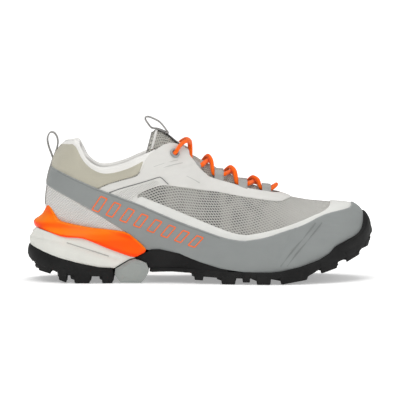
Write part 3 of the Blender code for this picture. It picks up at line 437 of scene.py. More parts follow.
def finished(piece: bpy.types.Object, coat: "Finish", *nodes: str) -> bpy.types.Object:
    """Dress a piece and say which CAD nodes it stands for.

    Args:
        piece: the piece.
        coat: its finish.
        nodes: the CAD nodes that it replaces.

    Returns:
        The piece.
    """
    piece.data.materials.clear()
    piece.data.materials.append(coat.material())
    if nodes:
        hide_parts(*nodes)
    return piece


# The skin: a surface that panels are cut from.

@dataclass
class Skin:
    """Triangles with a row of numbers at each point.

    Columns: place (3), outward direction (3), flat lengths round and along (2),
    flat lengths by x and along (2), inset for walls or zero (1).
    """

    data: np.ndarray
    faces: np.ndarray

    def place(self) -> np.ndarray:
        """Places of the points."""
        return self.data[:, 0:3]

    def spot(self, x: float, z: float, side: int, height: float = 0.0) -> np.ndarray:
        """Point above the surface seen at (x, z) from one side.

        Args:
            x: place along the shoe.
            z: height.
            side: -1 for the outer side, 1 for the inner.
            height: distance above the surface.

        Returns:
            The place.
        """
        data = self.data
        miss = (data[:, 0] - x) ** 2 + (data[:, 2] - z) ** 2 + np.where(data[:, 1] * side < 0.0, 1e6, 0.0)
        near = np.argpartition(miss, 6)[:6]
        weight = 1.0 / (miss[near] + 0.05)
        row = (data[near] * weight[:, None]).sum(0) / weight.sum()
        normal = row[3:6] / np.linalg.norm(row[3:6])
        y = row[1] - (normal[0] * (x - row[0]) + normal[2] * (z - row[2])) / normal[1]
        return np.array([x, y, z]) + normal * height

    def direction(self, x: float, z: float, side: int) -> np.ndarray:
        """Outward direction of the surface seen at (x, z) from one side.

        Args:
            x: place along the shoe.
            z: height.
            side: -1 for the outer side, 1 for the inner.

        Returns:
            The direction, of length one.
        """
        data = self.data
        miss = (data[:, 0] - x) ** 2 + (data[:, 2] - z) ** 2 + np.where(data[:, 1] * side < 0.0, 1e6, 0.0)
        normal = data[np.argpartition(miss, 6)[:6], 3:6].mean(0)
        return normal / np.linalg.norm(normal)

    def sliced(self, depth: np.ndarray, level: float) -> Tuple["Skin", np.ndarray]:
        """Split the triangles along a level of a field.

        Args:
            depth: the field, one value at each point.
            level: where to split.

        Returns:
            The split skin and its field.
        """
        off = depth - level
        off = np.where(np.abs(off) < 0.1, 0.0, off)
        depth = np.where(off == 0.0, level, depth)
        sign = np.sign(off).astype(int)[self.faces]
        high, low = (sign > 0).sum(1), (sign < 0).sum(1)
        crossed = (high > 0) & (low > 0)
        kept = [self.faces[~crossed]]
        table = np.hstack([self.data, depth[:, None]])
        corners, signs = self.faces[crossed], sign[crossed]
        if not len(corners):
            return self, depth
        flat_zero = (signs == 0).any(1)
        turn = np.where(flat_zero, np.argmax(signs == 0, 1), 0)
        alone = np.where((signs > 0).sum(1) == 1, 1, -1)
        turn = np.where(flat_zero, turn, np.argmax(signs == alone[:, None], 1))
        rows = np.arange(len(corners))
        a = corners[rows, turn]
        b = corners[rows, (turn + 1) % 3]
        c = corners[rows, (turn + 2) % 3]
        one, two = ~flat_zero, flat_zero
        pairs = np.vstack([
            np.stack([a[one], b[one]], 1), np.stack([a[one], c[one]], 1), np.stack([b[two], c[two]], 1)
        ])
        ordered = np.sort(pairs, axis=1)
        unique, back = np.unique(ordered, axis=0, return_inverse=True)
        back = back.reshape(-1)
        u, v = unique[:, 0], unique[:, 1]
        share = (off[u] / (off[u] - off[v]))[:, None]
        fresh_rows = table[u] * (1.0 - share) + table[v] * share
        fresh_rows[:, -1] = level
        first = len(table)
        count = int(one.sum())
        ab, ac, bc = back[:count] + first, back[count:2 * count] + first, back[2 * count:] + first
        kept += [
            np.stack([a[one], ab, ac], 1), np.stack([ab, b[one], c[one]], 1), np.stack([ab, c[one], ac], 1),
            np.stack([a[two], b[two], bc], 1), np.stack([a[two], bc, c[two]], 1),
        ]
        table = np.vstack([table, fresh_rows])
        return Skin(table[:, :-1], np.vstack(kept)), table[:, -1]

    def cut(self, depth: np.ndarray, levels: Sequence[float] = (0.0,)) -> Tuple["Skin", np.ndarray]:
        """Keep what lies inside a field, with lines of points at some levels.

        Args:
            depth: distance inside the outline at each point.
            levels: the levels that get a line of points, the first one being the edge.

        Returns:
            The cut skin and its field.
        """
        skin, depth = self, depth
        for level in levels:
            skin, depth = skin.sliced(depth, level)
        middle = depth[skin.faces].mean(1)
        faces = skin.faces[(depth[skin.faces].min(1) >= levels[0] - 1e-6) & (middle > levels[0])]
        used, back = np.unique(faces, return_inverse=True)
        return Skin(skin.data[used], back.reshape(-1, 3)), depth[used]


def run_lengths(line: np.ndarray) -> np.ndarray:
    """Length along a line from its start to each of its points."""
    return np.concatenate([[0.0], np.cumsum(np.linalg.norm(np.diff(line, axis=0), axis=1))])


def webbing_rows(line: np.ndarray, across: np.ndarray, up: np.ndarray, half: float, thick: float,
                 swell: float, tip: float) -> np.ndarray:
    """Corners of a flat webbing section at every place of its middle line.

    Args:
        line: the middle line.
        across: direction of the width at each place.
        up: direction of the thickness at each place.
        half: half the width.
        thick: half the thickness.
        swell: how much thicker the middle is, as a factor.
        tip: how far the rounded sides stand out.

    Returns:
        Rows of eight corners.
    """
    corners = [(-half, -thick), (0.0, -thick * swell), (half, -thick), (half + tip, 0.0), (half, thick),
               (0.0, thick * swell), (-half, thick), (-half - tip, 0.0)]
    return np.stack([line + across * u + up * v for u, v in corners], 1)


def line_along(
    name: str, skin: Skin, path: Sequence[Point2], side: int, height: float, half: float, coat: "Finish",
    closed: bool = False,
) -> bpy.types.Object:
    """Thin raised line that lies on a skin.

    Args:
        name: name of the piece.
        skin: the surface that it lies on.
        path: its places in side view.
        side: -1 for the outer side, 1 for the inner.
        height: how far above the surface its middle lies.
        half: half its width.
        coat: its finish.
        closed: whether it is a ring.

    Returns:
        The line.
    """
    line = np.array([skin.spot(px, pz, side, height) for px, pz in path])
    out = np.array([skin.direction(px, pz, side) for px, pz in path])
    run = frames(line, closed)[0]
    across = np.cross(run, out)
    section = [(-1.0, -0.7), (-1.0, 0.1), (-0.55, 0.5), (0.55, 0.5), (1.0, 0.1), (1.0, -0.7)]
    rows = np.stack([line + across * u * half + out * v * half for u, v in section], 1)
    length = run_lengths(line)
    return finished(swept(name, length, rows, "shoe", closed), coat)


def rim(faces: np.ndarray) -> np.ndarray:
    """Edges that only one face uses, in that face's direction.

    Args:
        faces: corners of the triangles.

    Returns:
        Pairs of vertices.
    """
    edges = np.vstack([faces[:, [0, 1]], faces[:, [1, 2]], faces[:, [2, 0]]])
    key = np.sort(edges, axis=1)
    _, first, count = np.unique(key, axis=0, return_index=True, return_counts=True)
    return edges[first[count == 1]]


@dataclass
class Cut:
    """One panel: its name, the heights of its two faces and how its edge is rounded."""

    name: str
    outer: float
    inner: float
    edge: float = 1.0
    drop: float = 0.7
    body: str = "shoe"

    def make(
        self,
        skin: Skin,
        depth: Optional[np.ndarray],
        relief: Optional[Callable[[Skin, np.ndarray], np.ndarray]] = None,
    ) -> bpy.types.Object:
        """Cut the panel from a skin and give it thickness.

        Args:
            skin: the surface.
            depth: distance inside the panel's outline at each point, or None for all of it.
            relief: extra height of the outer face for the cut skin and its field.

        Returns:
            The closed panel.
        """
        if depth is None:
            depth = np.full(len(skin.data), 50.0)
        else:
            skin, depth = skin.cut(depth, (0.0, 0.3 * self.edge, self.edge))
        data = skin.data
        normal = data[:, 3:6] / np.maximum(np.linalg.norm(data[:, 3:6], axis=1, keepdims=True), 1e-9)
        lost = 1.0 - np.clip(depth / self.edge, 0.0, 1.0)
        height = self.outer - self.drop * (1.0 - np.sqrt(np.clip(1.0 - lost * lost, 0.0, 1.0)))
        if relief is not None:
            height = height + relief(skin, depth)
        outer = data[:, 0:3] + normal * height[:, None]
        inner = data[:, 0:3] + normal * self.inner
        wrong = (np.abs(data[:, 1]) > 0.4) & (inner[:, 1] * data[:, 1] < 0.0)
        inner[wrong, 1] = np.sign(data[wrong, 1]) * 0.05
        count = len(data)
        faces = [skin.faces, skin.faces[:, ::-1] + count]
        edges = rim(skin.faces)
        a, b = edges[:, 0], edges[:, 1]
        faces += [np.stack([b, a, a + count], 1), np.stack([b, a + count, b + count], 1)]
        piece = fresh(self.name, np.vstack([outer, inner]), np.vstack(faces), self.body)
        give_uv(piece, "Round", np.vstack([data[:, 6:8]] * 2))
        give_uv(piece, "Flat", np.vstack([data[:, 8:10]] * 2))
        give_value(piece, "edge", np.concatenate([depth, depth]))
        give_value(piece, "face", np.concatenate([np.ones(count), np.zeros(count)]))
        return piece


@dataclass
class Last:
    """The surface of the last, finely divided."""

    stations: int = 520
    rows: int = 80
    grid: np.ndarray = field(default_factory=lambda: np.zeros(0))
    outward: np.ndarray = field(default_factory=lambda: np.zeros(0))
    skin: Skin = field(default_factory=lambda: Skin(np.zeros((0, 11)), np.zeros((0, 3), int)))

    def __post_init__(self) -> None:
        """Work out the places, directions and triangles."""
        low = [LOW_HEEL] + LOW_OUTER + [LOW_TOE]
        low += [(x, y) for (x, _), y in zip(LOW_OUTER, LOW_INNER_Y)][::-1]
        spine = [(x, y if x > SPINE_FROM else -y, z) for x, y, z in TOP_OUTER]
        top = [TOP_HEEL] + TOP_OUTER + [TOP_TOE] + spine[::-1]
        count = len(low)
        places = np.zeros((self.stations, self.rows + 1, 3))
        t = np.linspace(0.0, 1.0, self.rows + 1)[:, None]
        s = 1.0 - t
        for i in range(self.stations):
            place = i * count / self.stations
            bx, by = on_curve(low, place, True)
            ahead = np.array(on_curve(low, (place + 0.05) % count, True))
            behind = np.array(on_curve(low, (place - 0.05) % count, True))
            run = (ahead - behind) / np.linalg.norm(ahead - behind)
            out = np.array([run[1], -run[0], 0.0])
            if out @ np.array([bx + 20.0, by, 0.0]) < 0.0:
                out = -out
            base = np.array([bx, by, at(FEATHER, bx)])
            peak = np.array(on_curve(top, place, True))
            if peak[0] > SPINE_FROM:
                peak[1] = at([(SPINE_FROM, 0.0), (60.0, 0.0), (119.0, 3.7)], peak[0])
            spread = np.array([base[0] - peak[0], base[1] - peak[1], 0.0]) * at(TOP_SPREAD, bx)
            low_handle = base + out * at(LOW_BULGE, bx) + np.array([0.0, 0.0, at(LOW_REACH, bx)])
            top_handle = peak + spread + np.array([0.0, 0.0, at(TOP_LIFT, bx)])
            lower = base * s ** 3 + low_handle * 3 * s * s * t
            places[i] = lower + top_handle * 3 * s * t * t + peak * t ** 3
        self.grid = places
        self._triangulate()

    def _triangulate(self) -> None:
        """Join the grid to welded triangles with outward directions and flat lengths."""
        n, m = self.stations, self.rows + 1
        places = self.grid.reshape(-1, 3)
        key = np.round(places, 3)
        _, first, back = np.unique(key, axis=0, return_index=True, return_inverse=True)
        back = back.reshape(n, m)
        here = back
        there = np.roll(back, -1, axis=0)
        a, b, c, d = here[:, :-1], there[:, :-1], there[:, 1:], here[:, 1:]
        faces = np.vstack([np.stack([a, b, c], -1).reshape(-1, 3), np.stack([a, c, d], -1).reshape(-1, 3)])
        good = (faces[:, 0] != faces[:, 1]) & (faces[:, 1] != faces[:, 2]) & (faces[:, 0] != faces[:, 2])
        faces = faces[good]
        spots = places[first]
        normal = np.zeros_like(spots)
        cross = np.cross(spots[faces[:, 1]] - spots[faces[:, 0]], spots[faces[:, 2]] - spots[faces[:, 0]])
        for k in range(3):
            np.add.at(normal, faces[:, k], cross)
        probe = back[n // 4, 0]
        if normal[probe] @ (spots[probe] - np.array([0.0, 0.0, 40.0])) < 0.0:
            faces, normal = faces[:, ::-1], -normal
        normal /= np.maximum(np.linalg.norm(normal, axis=1, keepdims=True), 1e-9)
        self.outward = normal[back]
        middle = self.grid[:, self.rows // 3, :]
        step = np.linalg.norm(np.roll(middle, -1, axis=0) - middle, axis=1)
        half = n // 2
        round_length = np.concatenate([[0.0], np.cumsum(step)])[:-1]
        mirrored = np.minimum(round_length, round_length[-1] + step[-1] - round_length)
        round_length = np.where(np.arange(n) > half, mirrored, round_length)
        climb = np.linalg.norm(np.diff(self.grid, axis=1), axis=2)
        climb = np.concatenate([np.zeros((n, 1)), np.cumsum(climb, axis=1)], axis=1)
        flat = np.stack([
            np.broadcast_to(round_length[:, None], (n, m)), climb, self.grid[:, :, 0], climb,
            np.zeros((n, m)),
        ], -1).reshape(-1, 5)[first]
        self.skin = Skin(np.hstack([spots, normal, flat]), faces)


# Finishes.

class Kind(Enum):
    """What a finish is made of, which decides its pattern."""

    KNIT = "open knit with dark openings"
    CLOTH = "fine plain cloth"
    FILM = "smooth bonded film"
    WEBBING = "flat woven webbing"
    BRAID = "braided cord"
    FOAM = "moulded foam"
    RUBBER = "moulded rubber"
    PLASTIC = "satin moulded plastic"
    FLEECE = "soft napped lining"


@dataclass
class Wiring:
    """Adds and joins shader nodes in one tree."""

    tree: bpy.types.NodeTree

    def add(self, kind: str, **settings: object) -> bpy.types.Node:
        """Add a node; settings are its properties, or inputs when they start with in_.

        Args:
            kind: type of the node.
            settings: properties and inputs.

        Returns:
            The node.
        """
        node = self.tree.nodes.new(kind)
        for key, value in settings.items():
            if key.startswith("in_"):
                place = key[3:]
                socket = node.inputs[int(place) if place.isdigit() else place.replace("_", " ")]
                if isinstance(value, bpy.types.NodeSocket):
                    self.tree.links.new(value, socket)
                else:
                    socket.default_value = value
            else:
                setattr(node, key, value)
        return node

    def maths(
        self, how: str, a: object, b: object = 0.0, c: object = 0.0, clamp: bool = False
    ) -> bpy.types.NodeSocket:
        """One sum of two or three values or sockets."""
        return self.add("ShaderNodeMath", operation=how, use_clamp=clamp, in_0=a, in_1=b, in_2=c).outputs[0]

    def mixed(self, share: object, first: object, second: object, how: str = "MIX") -> bpy.types.NodeSocket:
        """Two colours mixed.

        Args:
            share: share of the second.
            first: first colour.
            second: second colour.
            how: way of mixing.

        Returns:
            The colour.
        """
        node = self.add("ShaderNodeMix", data_type="RGBA", blend_type=how, in_0=share)
        for socket, value in ((node.inputs[6], first), (node.inputs[7], second)):
            if isinstance(value, bpy.types.NodeSocket):
                self.tree.links.new(value, socket)
            else:
                socket.default_value = (*value, 1.0)
        return node.outputs[2]

    def noise(self, where: object, scale: float, detail: float = 3.0,
              rough: float = 0.5) -> bpy.types.NodeSocket:
        """Noise value at a place.

        Args:
            where: the place.
            scale: how fine it is.
            detail: number of finer layers.
            rough: strength of the finer layers.

        Returns:
            The value.
        """
        node = self.add("ShaderNodeTexNoise", in_Scale=scale, in_Detail=detail, in_Roughness=rough)
        self.tree.links.new(where, node.inputs["Vector"])
        return node.outputs["Fac"]

    def ramp(self, value: object, low: float, high: float) -> bpy.types.NodeSocket:
        """Value carried smoothly from low..high to 0..1.

        Args:
            value: the value.
            low: where it starts to rise.
            high: where it is full.

        Returns:
            The carried value.
        """
        node = self.add("ShaderNodeMapRange", interpolation_type="SMOOTHSTEP")
        self.tree.links.new(value, node.inputs[0])
        node.inputs[1].default_value = low
        node.inputs[2].default_value = high
        return node.outputs[0]


def group_tree(name: str, inputs: Sequence[Tuple[str, str]], outputs: Sequence[Tuple[str, str]]) -> Tuple[
        bpy.types.NodeTree, bpy.types.Node, bpy.types.Node]:
    """Start a shader node group with named sockets.

    Args:
        name: name of the group.
        inputs: name and socket kind of each input.
        outputs: name and socket kind of each output.

    Returns:
        The tree, its input node and its output node.
    """
    tree = bpy.data.node_groups.new(name, "ShaderNodeTree")
    for label, kind in inputs:
        tree.interface.new_socket(name=label, in_out="INPUT", socket_type=kind)
    for label, kind in outputs:
        tree.interface.new_socket(name=label, in_out="OUTPUT", socket_type=kind)
    return tree, tree.nodes.new("NodeGroupInput"), tree.nodes.new("NodeGroupOutput")


VALUE, COLOUR, PLACE = "NodeSocketFloat", "NodeSocketColor", "NodeSocketVector"


@dataclass
class Effects:
    """Node groups that several finishes share, each built once."""

    built: Dict[str, bpy.types.NodeTree] = field(default_factory=dict)

    def get(self, name: str) -> bpy.types.NodeTree:
        """The named group, built on first use."""
        if name not in self.built:
            self.built[name] = getattr(self, "_" + name)()
        return self.built[name]

    def _lighter_edge(self) -> bpy.types.NodeTree:
        """Lighter line along the edge of a panel, broken up by noise.

        Returns:
            The tree of the group.
        """
        tree, start, end = group_tree(
            "lighter_edge", [("Colour", COLOUR), ("Place", PLACE), ("Amount", VALUE), ("Width", VALUE)],
            [("Colour", COLOUR), ("Mask", VALUE)],
        )
        w = Wiring(tree)
        edge = w.add("ShaderNodeAttribute", attribute_name="edge").outputs["Fac"]
        near = w.maths("SUBTRACT", 1.0, w.maths("DIVIDE", edge, start.outputs["Width"]), clamp=True)
        broken = w.maths("MULTIPLY", near, w.ramp(w.noise(start.outputs["Place"], 260.0), 0.2, 0.7))
        mask = w.maths("MULTIPLY", broken, start.outputs["Amount"])
        light = w.mixed(mask, start.outputs["Colour"], (0.9, 0.9, 0.88))
        tree.links.new(light, end.inputs[0])
        tree.links.new(mask, end.inputs[1])
        return tree

    def _mottle(self) -> bpy.types.NodeTree:
        """Slow changes of lightness over a surface, and a little dust in them.

        Returns:
            The tree of the group.
        """
        tree, start, end = group_tree(
            "mottle", [("Colour", COLOUR), ("Place", PLACE), ("Scale", VALUE), ("Amount", VALUE)],
            [("Colour", COLOUR), ("Value", VALUE)],
        )
        w = Wiring(tree)
        node = w.add("ShaderNodeTexNoise", in_Detail=4.0, in_Roughness=0.6)
        tree.links.new(start.outputs["Place"], node.inputs["Vector"])
        tree.links.new(start.outputs["Scale"], node.inputs["Scale"])
        value = w.ramp(node.outputs["Fac"], 0.3, 0.7)
        darker = w.mixed(w.maths("MULTIPLY", value, start.outputs["Amount"]), start.outputs["Colour"],
                         (0.1, 0.1, 0.1))
        tree.links.new(darker, end.inputs[0])
        tree.links.new(value, end.inputs[1])
        return tree

    def _weave(self) -> bpy.types.NodeTree:
        """Over and under of threads, as a height and a mask.

        Returns:
            The tree of the group.
        """
        tree, start, end = group_tree(
            "weave", [("Flat", PLACE), ("Across", VALUE), ("Along", VALUE)],
            [("Height", VALUE), ("Mask", VALUE)]
        )
        w = Wiring(tree)
        split = w.add("ShaderNodeSeparateXYZ")
        tree.links.new(start.outputs["Flat"], split.inputs[0])
        u = w.maths("SINE", w.maths("MULTIPLY", split.outputs[0], start.outputs["Across"]))
        v = w.maths("SINE", w.maths("MULTIPLY", split.outputs[1], start.outputs["Along"]))
        product = w.maths("MULTIPLY", u, v)
        height = w.maths("MULTIPLY_ADD", product, 0.5, 0.5)
        tree.links.new(height, end.inputs[0])
        tree.links.new(w.ramp(height, 0.35, 0.65), end.inputs[1])
        return tree

    def _grain(self) -> bpy.types.NodeTree:
        """Fine pebbled grain with a few deeper pits.

        Returns:
            The tree of the group.
        """
        tree, start, end = group_tree("grain", [("Place", PLACE), ("Scale", VALUE)], [("Height", VALUE)])
        w = Wiring(tree)
        cells = w.add("ShaderNodeTexVoronoi", feature="F1")
        fine = w.add("ShaderNodeTexNoise", in_Detail=5.0, in_Roughness=0.65)
        for node in (cells, fine):
            tree.links.new(start.outputs["Place"], node.inputs["Vector"])
            tree.links.new(start.outputs["Scale"], node.inputs["Scale"])
        both = w.maths("MULTIPLY_ADD", cells.outputs["Distance"], 0.5, fine.outputs["Fac"])
        tree.links.new(both, end.inputs[0])
        return tree


EFFECTS = Effects()


@dataclass(frozen=True)
class Finish:
    """One finish: its colour, how it shines and the pattern it carries.

    Attributes:
        name: name of the material.
        kind: what it is made of.
        colour: its own colour.
        second: colour of its dark places, openings or low parts; on plastic, painted light on the faces that
            look up.
        roughness: how matt it is.
        pitch: thread or grain spacing in millimetres.
        shine: strength of its reflections.
        bump: depth of the pattern in millimetres.
        edge_lightness: strength of the lighter line along its edges.
        ribs: spacing of slanting ribs in millimetres, or zero for none; the troughs between them get painted
            shade.
        slot: name of the slot of this finish.
    """

    name: str
    kind: Kind
    colour: Point3
    second: Point3 = (0.05, 0.05, 0.05)
    roughness: float = 0.7
    pitch: float = 1.0
    shine: float = 0.25
    bump: float = 0.1
    edge_lightness: float = 0.0
    ribs: float = 0.0
    slot: str = ""

    def material(self) -> bpy.types.Material:
        """The material of this finish, built on first use.

        Returns:
            The material.
        """
        found = bpy.data.materials.get("look_" + self.name)
        if found:
            return found
        made = bpy.data.materials.new("look_" + self.name)
        made.use_nodes = True
        made.diffuse_color = (*self.colour, 1.0)
        w = Wiring(made.node_tree)
        shader = made.node_tree.nodes["Principled BSDF"]
        shader.inputs["Roughness"].default_value = self.roughness
        shader.inputs["Specular IOR Level"].default_value = self.shine
        where = w.add("ShaderNodeTexCoord").outputs["Object"]
        colour, height = getattr(self, "_" + self.kind.name.lower())(w, where, shader)
        colour = self._placed(w, "mottle", "Colour", Colour=colour, Place=where, Scale=45.0, Amount=0.06)
        if self.edge_lightness > 0.0:
            colour = self._placed(
                w, "lighter_edge", "Colour", Colour=colour, Place=where, Amount=self.edge_lightness, Width=1.1
            )
        made.node_tree.links.new(colour, shader.inputs["Base Color"])
        bump = w.add("ShaderNodeBump", in_Strength=1.0, in_Distance=self.bump * MM)
        made.node_tree.links.new(height, bump.inputs["Height"])
        made.node_tree.links.new(bump.outputs[0], shader.inputs["Normal"])
        return made

    def _placed(self, w: Wiring, name: str, output: str, **values: object) -> bpy.types.NodeSocket:
        """Place a shared group and give back one of its outputs.

        Args:
            w: wiring of the material.
            name: name of the group.
            output: the output wanted.
            values: inputs by label.

        Returns:
            The output.
        """
        node = w.add("ShaderNodeGroup")
        node.node_tree = EFFECTS.get(name)
        for label, value in values.items():
            if isinstance(value, bpy.types.NodeSocket):
                w.tree.links.new(value, node.inputs[label])
            elif isinstance(value, tuple):
                node.inputs[label].default_value = (*value, 1.0)
            else:
                node.inputs[label].default_value = value
        return node.outputs[output]

    def _threads(self, w: Wiring, layer: str, across: float, along: float,
                 output: str) -> bpy.types.NodeSocket:
        """Weave on a flat layer, its spacings in millimetres.

        Args:
            w: wiring of the material.
            layer: the flat layer.
            across: spacing across.
            along: spacing along.
            output: the output of the weave wanted.

        Returns:
            That output.
        """
        flat = w.add("ShaderNodeUVMap", uv_map=layer).outputs[0]
        turn = 20.0 * math.pi
        return self._placed(w, "weave", output, Flat=flat, Across=turn / across, Along=turn / along)

    def _knit(self, w: Wiring, where: object, shader: object) -> Tuple[object, object]:
        """Slanting rows of short dark openings, fading towards the toe and the top of the vamp, and painted
        light that makes the knit paler towards the toe.

        Args:
            w: wiring of the material.
            where: place on the piece, in metres.
            shader: the shader that it feeds.

        Returns:
            Colour and height.
        """
        flat = w.add("ShaderNodeUVMap", uv_map="Flat").outputs[0]
        turned = w.add("ShaderNodeMapping")
        turned.inputs["Rotation"].default_value = (0.0, 0.0, math.radians(14.0))
        w.tree.links.new(flat, turned.inputs[0])
        turn = 20.0 * math.pi / self.pitch
        dots = self._placed(w, "weave", "Height", Flat=turned.outputs[0], Across=turn * 0.74,
                            Along=turn * 1.12)
        open_places = w.ramp(dots, 0.52, 0.74)
        split = w.add("ShaderNodeSeparateXYZ")
        w.tree.links.new(where, split.inputs[0])
        fade = w.maths("SUBTRACT", 1.0, w.ramp(split.outputs[0], 0.045, 0.092))
        slant = w.add("ShaderNodeMapping")
        slant.inputs["Rotation"].default_value = (0.0, math.radians(-18.0), 0.0)
        slant.inputs["Scale"].default_value = (75.0, 75.0, 9.0)
        w.tree.links.new(where, slant.inputs[0])
        patch = w.ramp(w.noise(slant.outputs[0], 1.0, 2.0), 0.4, 0.6)
        share = w.maths(
            "MULTIPLY", open_places, w.maths("MULTIPLY", fade, w.maths("MULTIPLY_ADD", patch, 0.5, 0.5))
        )
        colour = w.mixed(share, self.colour, self.second)
        # Painted light: the knit is made paler towards the toe, where the light falls on it.
        light = w.ramp(split.outputs[0], 0.03, 0.11)
        colour = w.mixed(w.maths("MULTIPLY", light, 0.5), colour, (0.62, 0.61, 0.575))
        fine = self._threads(w, "Flat", 0.55, 0.55, "Height")
        shader.inputs["Sheen Weight"].default_value = 0.15
        height = w.maths("SUBTRACT", fine, w.maths("MULTIPLY", open_places, 1.4))
        return colour, height

    def _cloth(self, w: Wiring, where: object, shader: object) -> Tuple[object, object]:
        """Fine plain weave whose low threads are a little darker.

        Args:
            w: wiring of the material.
            where: place on the piece, in metres.
            shader: the shader that it feeds.

        Returns:
            Colour and height.
        """
        height = self._threads(w, "Round", self.pitch, self.pitch, "Height")
        fine = w.noise(where, 900.0, 2.0)
        colour = w.mixed(w.maths("MULTIPLY", w.ramp(height, 0.2, 0.8), 0.18), self.colour, self.second)
        shader.inputs["Sheen Weight"].default_value = 0.2
        return colour, w.maths("ADD", height, w.maths("MULTIPLY", fine, 0.6))

    def _film(self, w: Wiring, where: object, shader: object) -> Tuple[object, object]:
        """Smooth film with faint wrinkles and a fine matt grain.

        Args:
            w: wiring of the material.
            where: place on the piece, in metres.
            shader: the shader that it feeds; not used here.

        Returns:
            Colour and height.
        """
        stretched = w.add("ShaderNodeMapping")
        stretched.inputs["Rotation"].default_value = (0.0, math.radians(28.0), 0.0)
        stretched.inputs["Scale"].default_value = (28.0, 28.0, 150.0)
        w.tree.links.new(where, stretched.inputs[0])
        wrinkle = w.noise(stretched.outputs[0], 1.0, 2.0, 0.4)
        grain = self._placed(w, "grain", "Height", Place=where, Scale=2200.0)
        height = w.maths("ADD", w.maths("MULTIPLY", wrinkle, 2.2), w.maths("MULTIPLY", grain, 0.16))
        colour = w.mixed(w.maths("MULTIPLY", w.ramp(wrinkle, 0.3, 0.75), 0.1), self.colour, self.second)
        if self.ribs > 0.0:
            turned = w.add("ShaderNodeMapping")
            turned.inputs["Rotation"].default_value = (0.0, 0.0, math.radians(45.0))
            w.tree.links.new(w.add("ShaderNodeUVMap", uv_map="Flat").outputs[0], turned.inputs[0])
            split = w.add("ShaderNodeSeparateXYZ")
            w.tree.links.new(turned.outputs[0], split.inputs[0])
            wave = w.maths("SINE", w.maths("MULTIPLY", split.outputs[0], 20.0 * math.pi / self.ribs))
            height = w.maths("MULTIPLY_ADD", wave, 1.6, height)
            # Painted shade: the troughs between the ribs are darkened towards 0.62 of the colour.
            dark = w.maths("MULTIPLY", w.ramp(w.maths("MULTIPLY", wave, -1.0), 0.1, 1.0), 0.42)
            colour = w.mixed(dark, colour, tuple(0.62 * c for c in self.colour))
        return colour, height

    def _webbing(self, w: Wiring, where: object, shader: object) -> Tuple[object, object]:
        """Tight diagonal weave with darker gaps.

        Args:
            w: wiring of the material.
            where: place on the piece, in metres; not used here.
            shader: the shader that it feeds.

        Returns:
            Colour and height.
        """
        height = self._threads(w, "Round", self.pitch, self.pitch * 0.6, "Height")
        shader.inputs["Sheen Weight"].default_value = 0.1
        return w.mixed(w.maths("MULTIPLY", w.ramp(height, 0.15, 0.6), 0.8), self.second, self.colour), height

    def _braid(self, w: Wiring, where: object, shader: object) -> Tuple[object, object]:
        """Crossing strands round a cord, with small dark gaps.

        Args:
            w: wiring of the material.
            where: place on the piece, in metres; not used here.
            shader: the shader that it feeds.

        Returns:
            Colour and height.
        """
        flat = w.add("ShaderNodeUVMap", uv_map="Round").outputs[0]
        turned = w.add("ShaderNodeMapping")
        turned.inputs["Rotation"].default_value = (0.0, 0.0, math.radians(45.0))
        w.tree.links.new(flat, turned.inputs[0])
        turn = 20.0 * math.pi / self.pitch
        height = self._placed(w, "weave", "Height", Flat=turned.outputs[0], Across=turn, Along=turn)
        shader.inputs["Sheen Weight"].default_value = 0.15
        return w.mixed(w.ramp(height, 0.1, 0.55), self.second, self.colour), height

    def _foam(self, w: Wiring, where: object, shader: object) -> Tuple[object, object]:
        """Moulded skin with a soft fine grain."""
        height = self._placed(w, "grain", "Height", Place=where, Scale=1000.0 / self.pitch)
        return w.mixed(w.maths("MULTIPLY", w.ramp(height, 0.5, 0.9), 0.15), self.colour, self.second), height

    def _rubber(self, w: Wiring, where: object, shader: object) -> Tuple[object, object]:
        """Dull rubber with patches of dust.

        Args:
            w: wiring of the material.
            where: place on the piece, in metres.
            shader: the shader that it feeds; not used here.

        Returns:
            Colour and height.
        """
        height = self._placed(w, "grain", "Height", Place=where, Scale=1000.0 / self.pitch)
        dust = w.ramp(w.noise(where, 120.0, 5.0, 0.7), 0.45, 0.8)
        return w.mixed(w.maths("MULTIPLY", dust, 0.35), self.colour, self.second), height

    def _plastic(self, w: Wiring, where: object, shader: object) -> Tuple[object, object]:
        """Satin plastic with painted light: lighter and yellower on the faces that look up, where the light
        from above falls.

        Args:
            w: wiring of the material.
            where: place on the piece, in metres.
            shader: the shader that it feeds.

        Returns:
            Colour and height.
        """
        shader.inputs["Coat Weight"].default_value = 0.04
        shader.inputs["Coat Roughness"].default_value = 0.3
        normal = w.add("ShaderNodeNewGeometry").outputs["Normal"]
        split = w.add("ShaderNodeSeparateXYZ")
        w.tree.links.new(normal, split.inputs[0])
        height = self._placed(w, "grain", "Height", Place=where, Scale=1000.0 / self.pitch)
        # Painted light: faces that look up get the lighter second colour.
        return w.mixed(w.ramp(split.outputs[2], 0.05, 0.75), self.colour, self.second), height

    def _fleece(self, w: Wiring, where: object, shader: object) -> Tuple[object, object]:
        """Soft brushed surface.

        Args:
            w: wiring of the material.
            where: place on the piece, in metres.
            shader: the shader that it feeds.

        Returns:
            Colour and height.
        """
        shader.inputs["Sheen Weight"].default_value = 0.35
        pile = w.noise(where, 1400.0, 3.0, 0.7)
        broad = w.noise(where, 90.0, 2.0)
        return w.mixed(w.maths("MULTIPLY", w.ramp(pile, 0.3, 0.8), 0.2), self.colour, self.second), w.maths(
            "ADD", pile, w.maths("MULTIPLY", broad, 3.0)
        )


